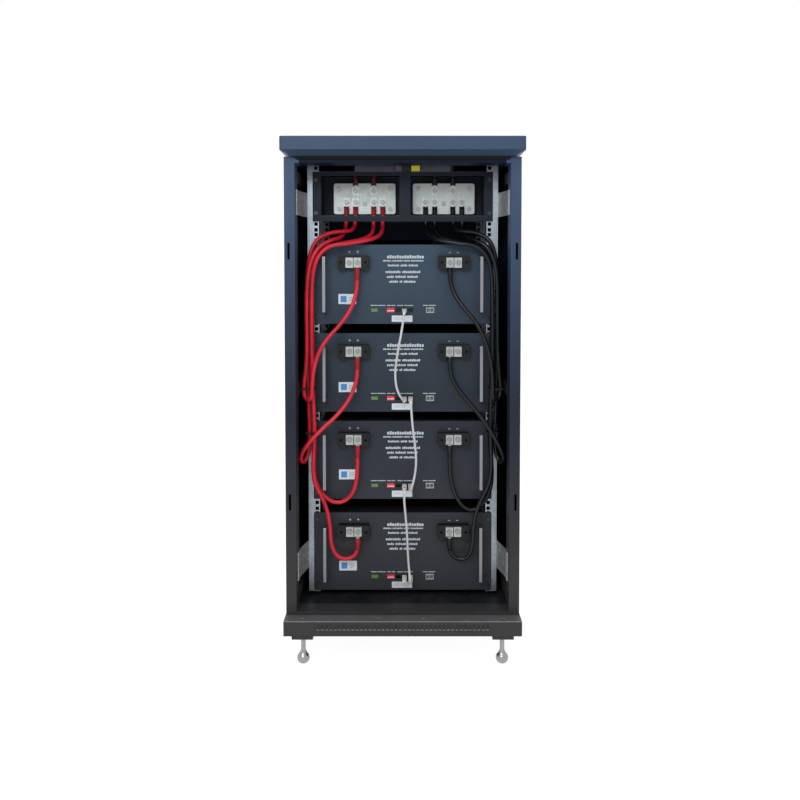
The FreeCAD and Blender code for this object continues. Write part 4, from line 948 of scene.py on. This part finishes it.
def make_filter(name, half, z_low, z_high, y_face, material, body):
    """A strip of ribbed filter foam behind a row of air slots."""
    ribs, rows = round(2 * half / RIB_STEP), 4
    mesh = bmesh.new()
    grid = []
    for i in range(ribs + 1):
        x = -half + 2 * half * i / ribs
        rib = RIB_DEPTH * math.sin(i * math.pi / 2)
        column = []
        for k in range(rows + 1):
            wave = WAVE_DEPTH * math.sin(i * 1.3 + k * 2.1)
            z = z_low + (z_high - z_low) * k / rows
            column.append(mesh.verts.new((x, y_face + rib + wave, z)))
        grid.append(column)
    for left, right in zip(grid, grid[1:]):
        for k in range(rows):
            mesh.faces.new((left[k], right[k], right[k + 1], left[k + 1]))
    strip = finish_piece(name, mesh, material, body)
    solid = strip.modifiers.new("thickness", "SOLIDIFY")
    solid.thickness = FOAM_THICKNESS
    solid.offset = 0.0


def make_filters(looks):
    """Foam behind the slots of the plinth, where it is also painted shade for the plinth's inside, and
    behind both fields of slots in the rear door.
    """
    low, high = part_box("base_plinth")
    make_filter("vent_filter_and_shade", VENT_HALF, high.z - VENT_LOW, high.z - VENT_HIGH,
                low.y + VENT_GAP, looks["plinth_shade_foam"], HOME)
    for number, centre in enumerate(DOOR_VENTS, start=1):
        middle = centre * MM
        make_filter(f"door_filter_{number}", FIELD_HALF, middle - FIELD_RISE, middle + FIELD_RISE,
                    DOOR_OUTER * MM - FIELD_GAP, looks["foam"], "body_rear_door")


# The holes in the plinth's ledge, from side to side, and the line they are on, in millimetres.
PLUG_SPOTS = (-256.0, -62.0, 50.0, 256.0)
PLUG_LINE = -285.0
# A plug from its middle outwards: radius, then height above its rim. The rim is sunk a little.
PLUG_OUTLINE = ((0.4, -1.2), (1.8, -0.7), (3.0, -0.15), (3.9, 0.0), (3.9, -4.0))
PLUG_SINK = 0.8


def make_ledge_plugs(looks):
    """Black push-in plugs, slightly dished, in the holes of the plinth's ledge."""
    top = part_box("base_plinth")[1].z - PLUG_SINK * MM
    circle = around(PLUG_SIDES)
    mesh = bmesh.new()
    for x in PLUG_SPOTS:
        rings = []
        for radius, rise in PLUG_OUTLINE:
            rings.append([mesh.verts.new(((x + radius * cosine) * MM,
                                          (PLUG_LINE + radius * sine) * MM, top + rise * MM))
                          for cosine, sine in circle])
        join_rings(mesh, rings, capped=True)
    finish_piece("ledge_plugs", mesh, looks["black_plastic"], HOME)


# The seals' outlines in millimetres: out from the middle or back from the front, then height.
SIDE_SEAL = ((278.5, 1289.6), (282.0, 1289.6), (289.0, 1293.2), (296.0, 1297.0), (297.3, 1296.6),
             (297.5, 1290.0), (297.3, 1284.0), (295.8, 1282.6), (281.0, 1282.6), (278.9, 1284.6))
# The front seal also stands in for the cap's shadow: its dark strip below the cap's edge is painted
# shade.
FRONT_SEAL_AND_SHADE = ((-263.2, 1282.0), (-263.2, 1289.6), (-272.4, 1289.8), (-274.6, 1288.4),
              (-273.0, 1286.4), (-267.0, 1284.2))
# Half the length of each seal and how many steps it has.
SIDE_HALF, SIDE_STEPS = 211.5, 12
FRONT_HALF, FRONT_STEPS = 270.0, 16
# How far the side seals are pressed down and how much they sag in waves.
SEAL_PRESS, SEAL_SAG = 0.3, 0.25


def stations(half, steps):
    """Evenly spaced places from one end of a length to the other."""
    return [-half + 2 * half * i / steps for i in range(steps + 1)]


def make_seal(name, outlines, looks):
    """A rubber seal drawn through outlines that stand one behind another."""
    mesh = bmesh.new()
    rings = [[mesh.verts.new((x * MM, y * MM, z * MM)) for x, y, z in outline]
             for outline in outlines]
    join_rings(mesh, rings, capped=True)
    finish_piece(name, mesh, looks["foam"], HOME)


def make_side_seals(looks):
    """Seals that close the side panels against the tapered underside of the cap."""
    for side, name in ((-1, "top_seal_left"), (1, "top_seal_right")):
        outlines = []
        for i, y in enumerate(stations(SIDE_HALF, SIDE_STEPS)):
            sag = SEAL_SAG * math.sin(i * 1.7)
            outlines.append([(side * x, y, z - SEAL_PRESS + sag) for x, z in SIDE_SEAL])
        make_seal(name, outlines, looks)


def make_front_seal_and_shade(looks):
    """A lip that closes the slit between the cap's rim and the bar below it; its dark strip under the
    cap's edge is painted shadow, standing in for the cap's shade.
    """
    outlines = [[(x, y, z) for y, z in FRONT_SEAL_AND_SHADE] for x in stations(FRONT_HALF, FRONT_STEPS)]
    make_seal("top_seal_front_and_shade", outlines, looks)


# ---------------------------------------------------------------- the scene

def main():
    make_camera()
    make_studio()
    looks = make_materials()
    dress_nodes(looks)
    for pole, color in (("positive", "red"), ("negative", "black")):
        make_power_leads(pole, color, looks)
        make_output_leads(pole, color, looks)
    make_data_leads(looks)
    for number, middle in enumerate(MIDDLES, start=1):
        make_print(number, middle, looks)
        make_stickers(number, middle, looks)
    make_filters(looks)
    make_ledge_plugs(looks)
    make_side_seals(looks)
    make_front_seal_and_shade(looks)


main()
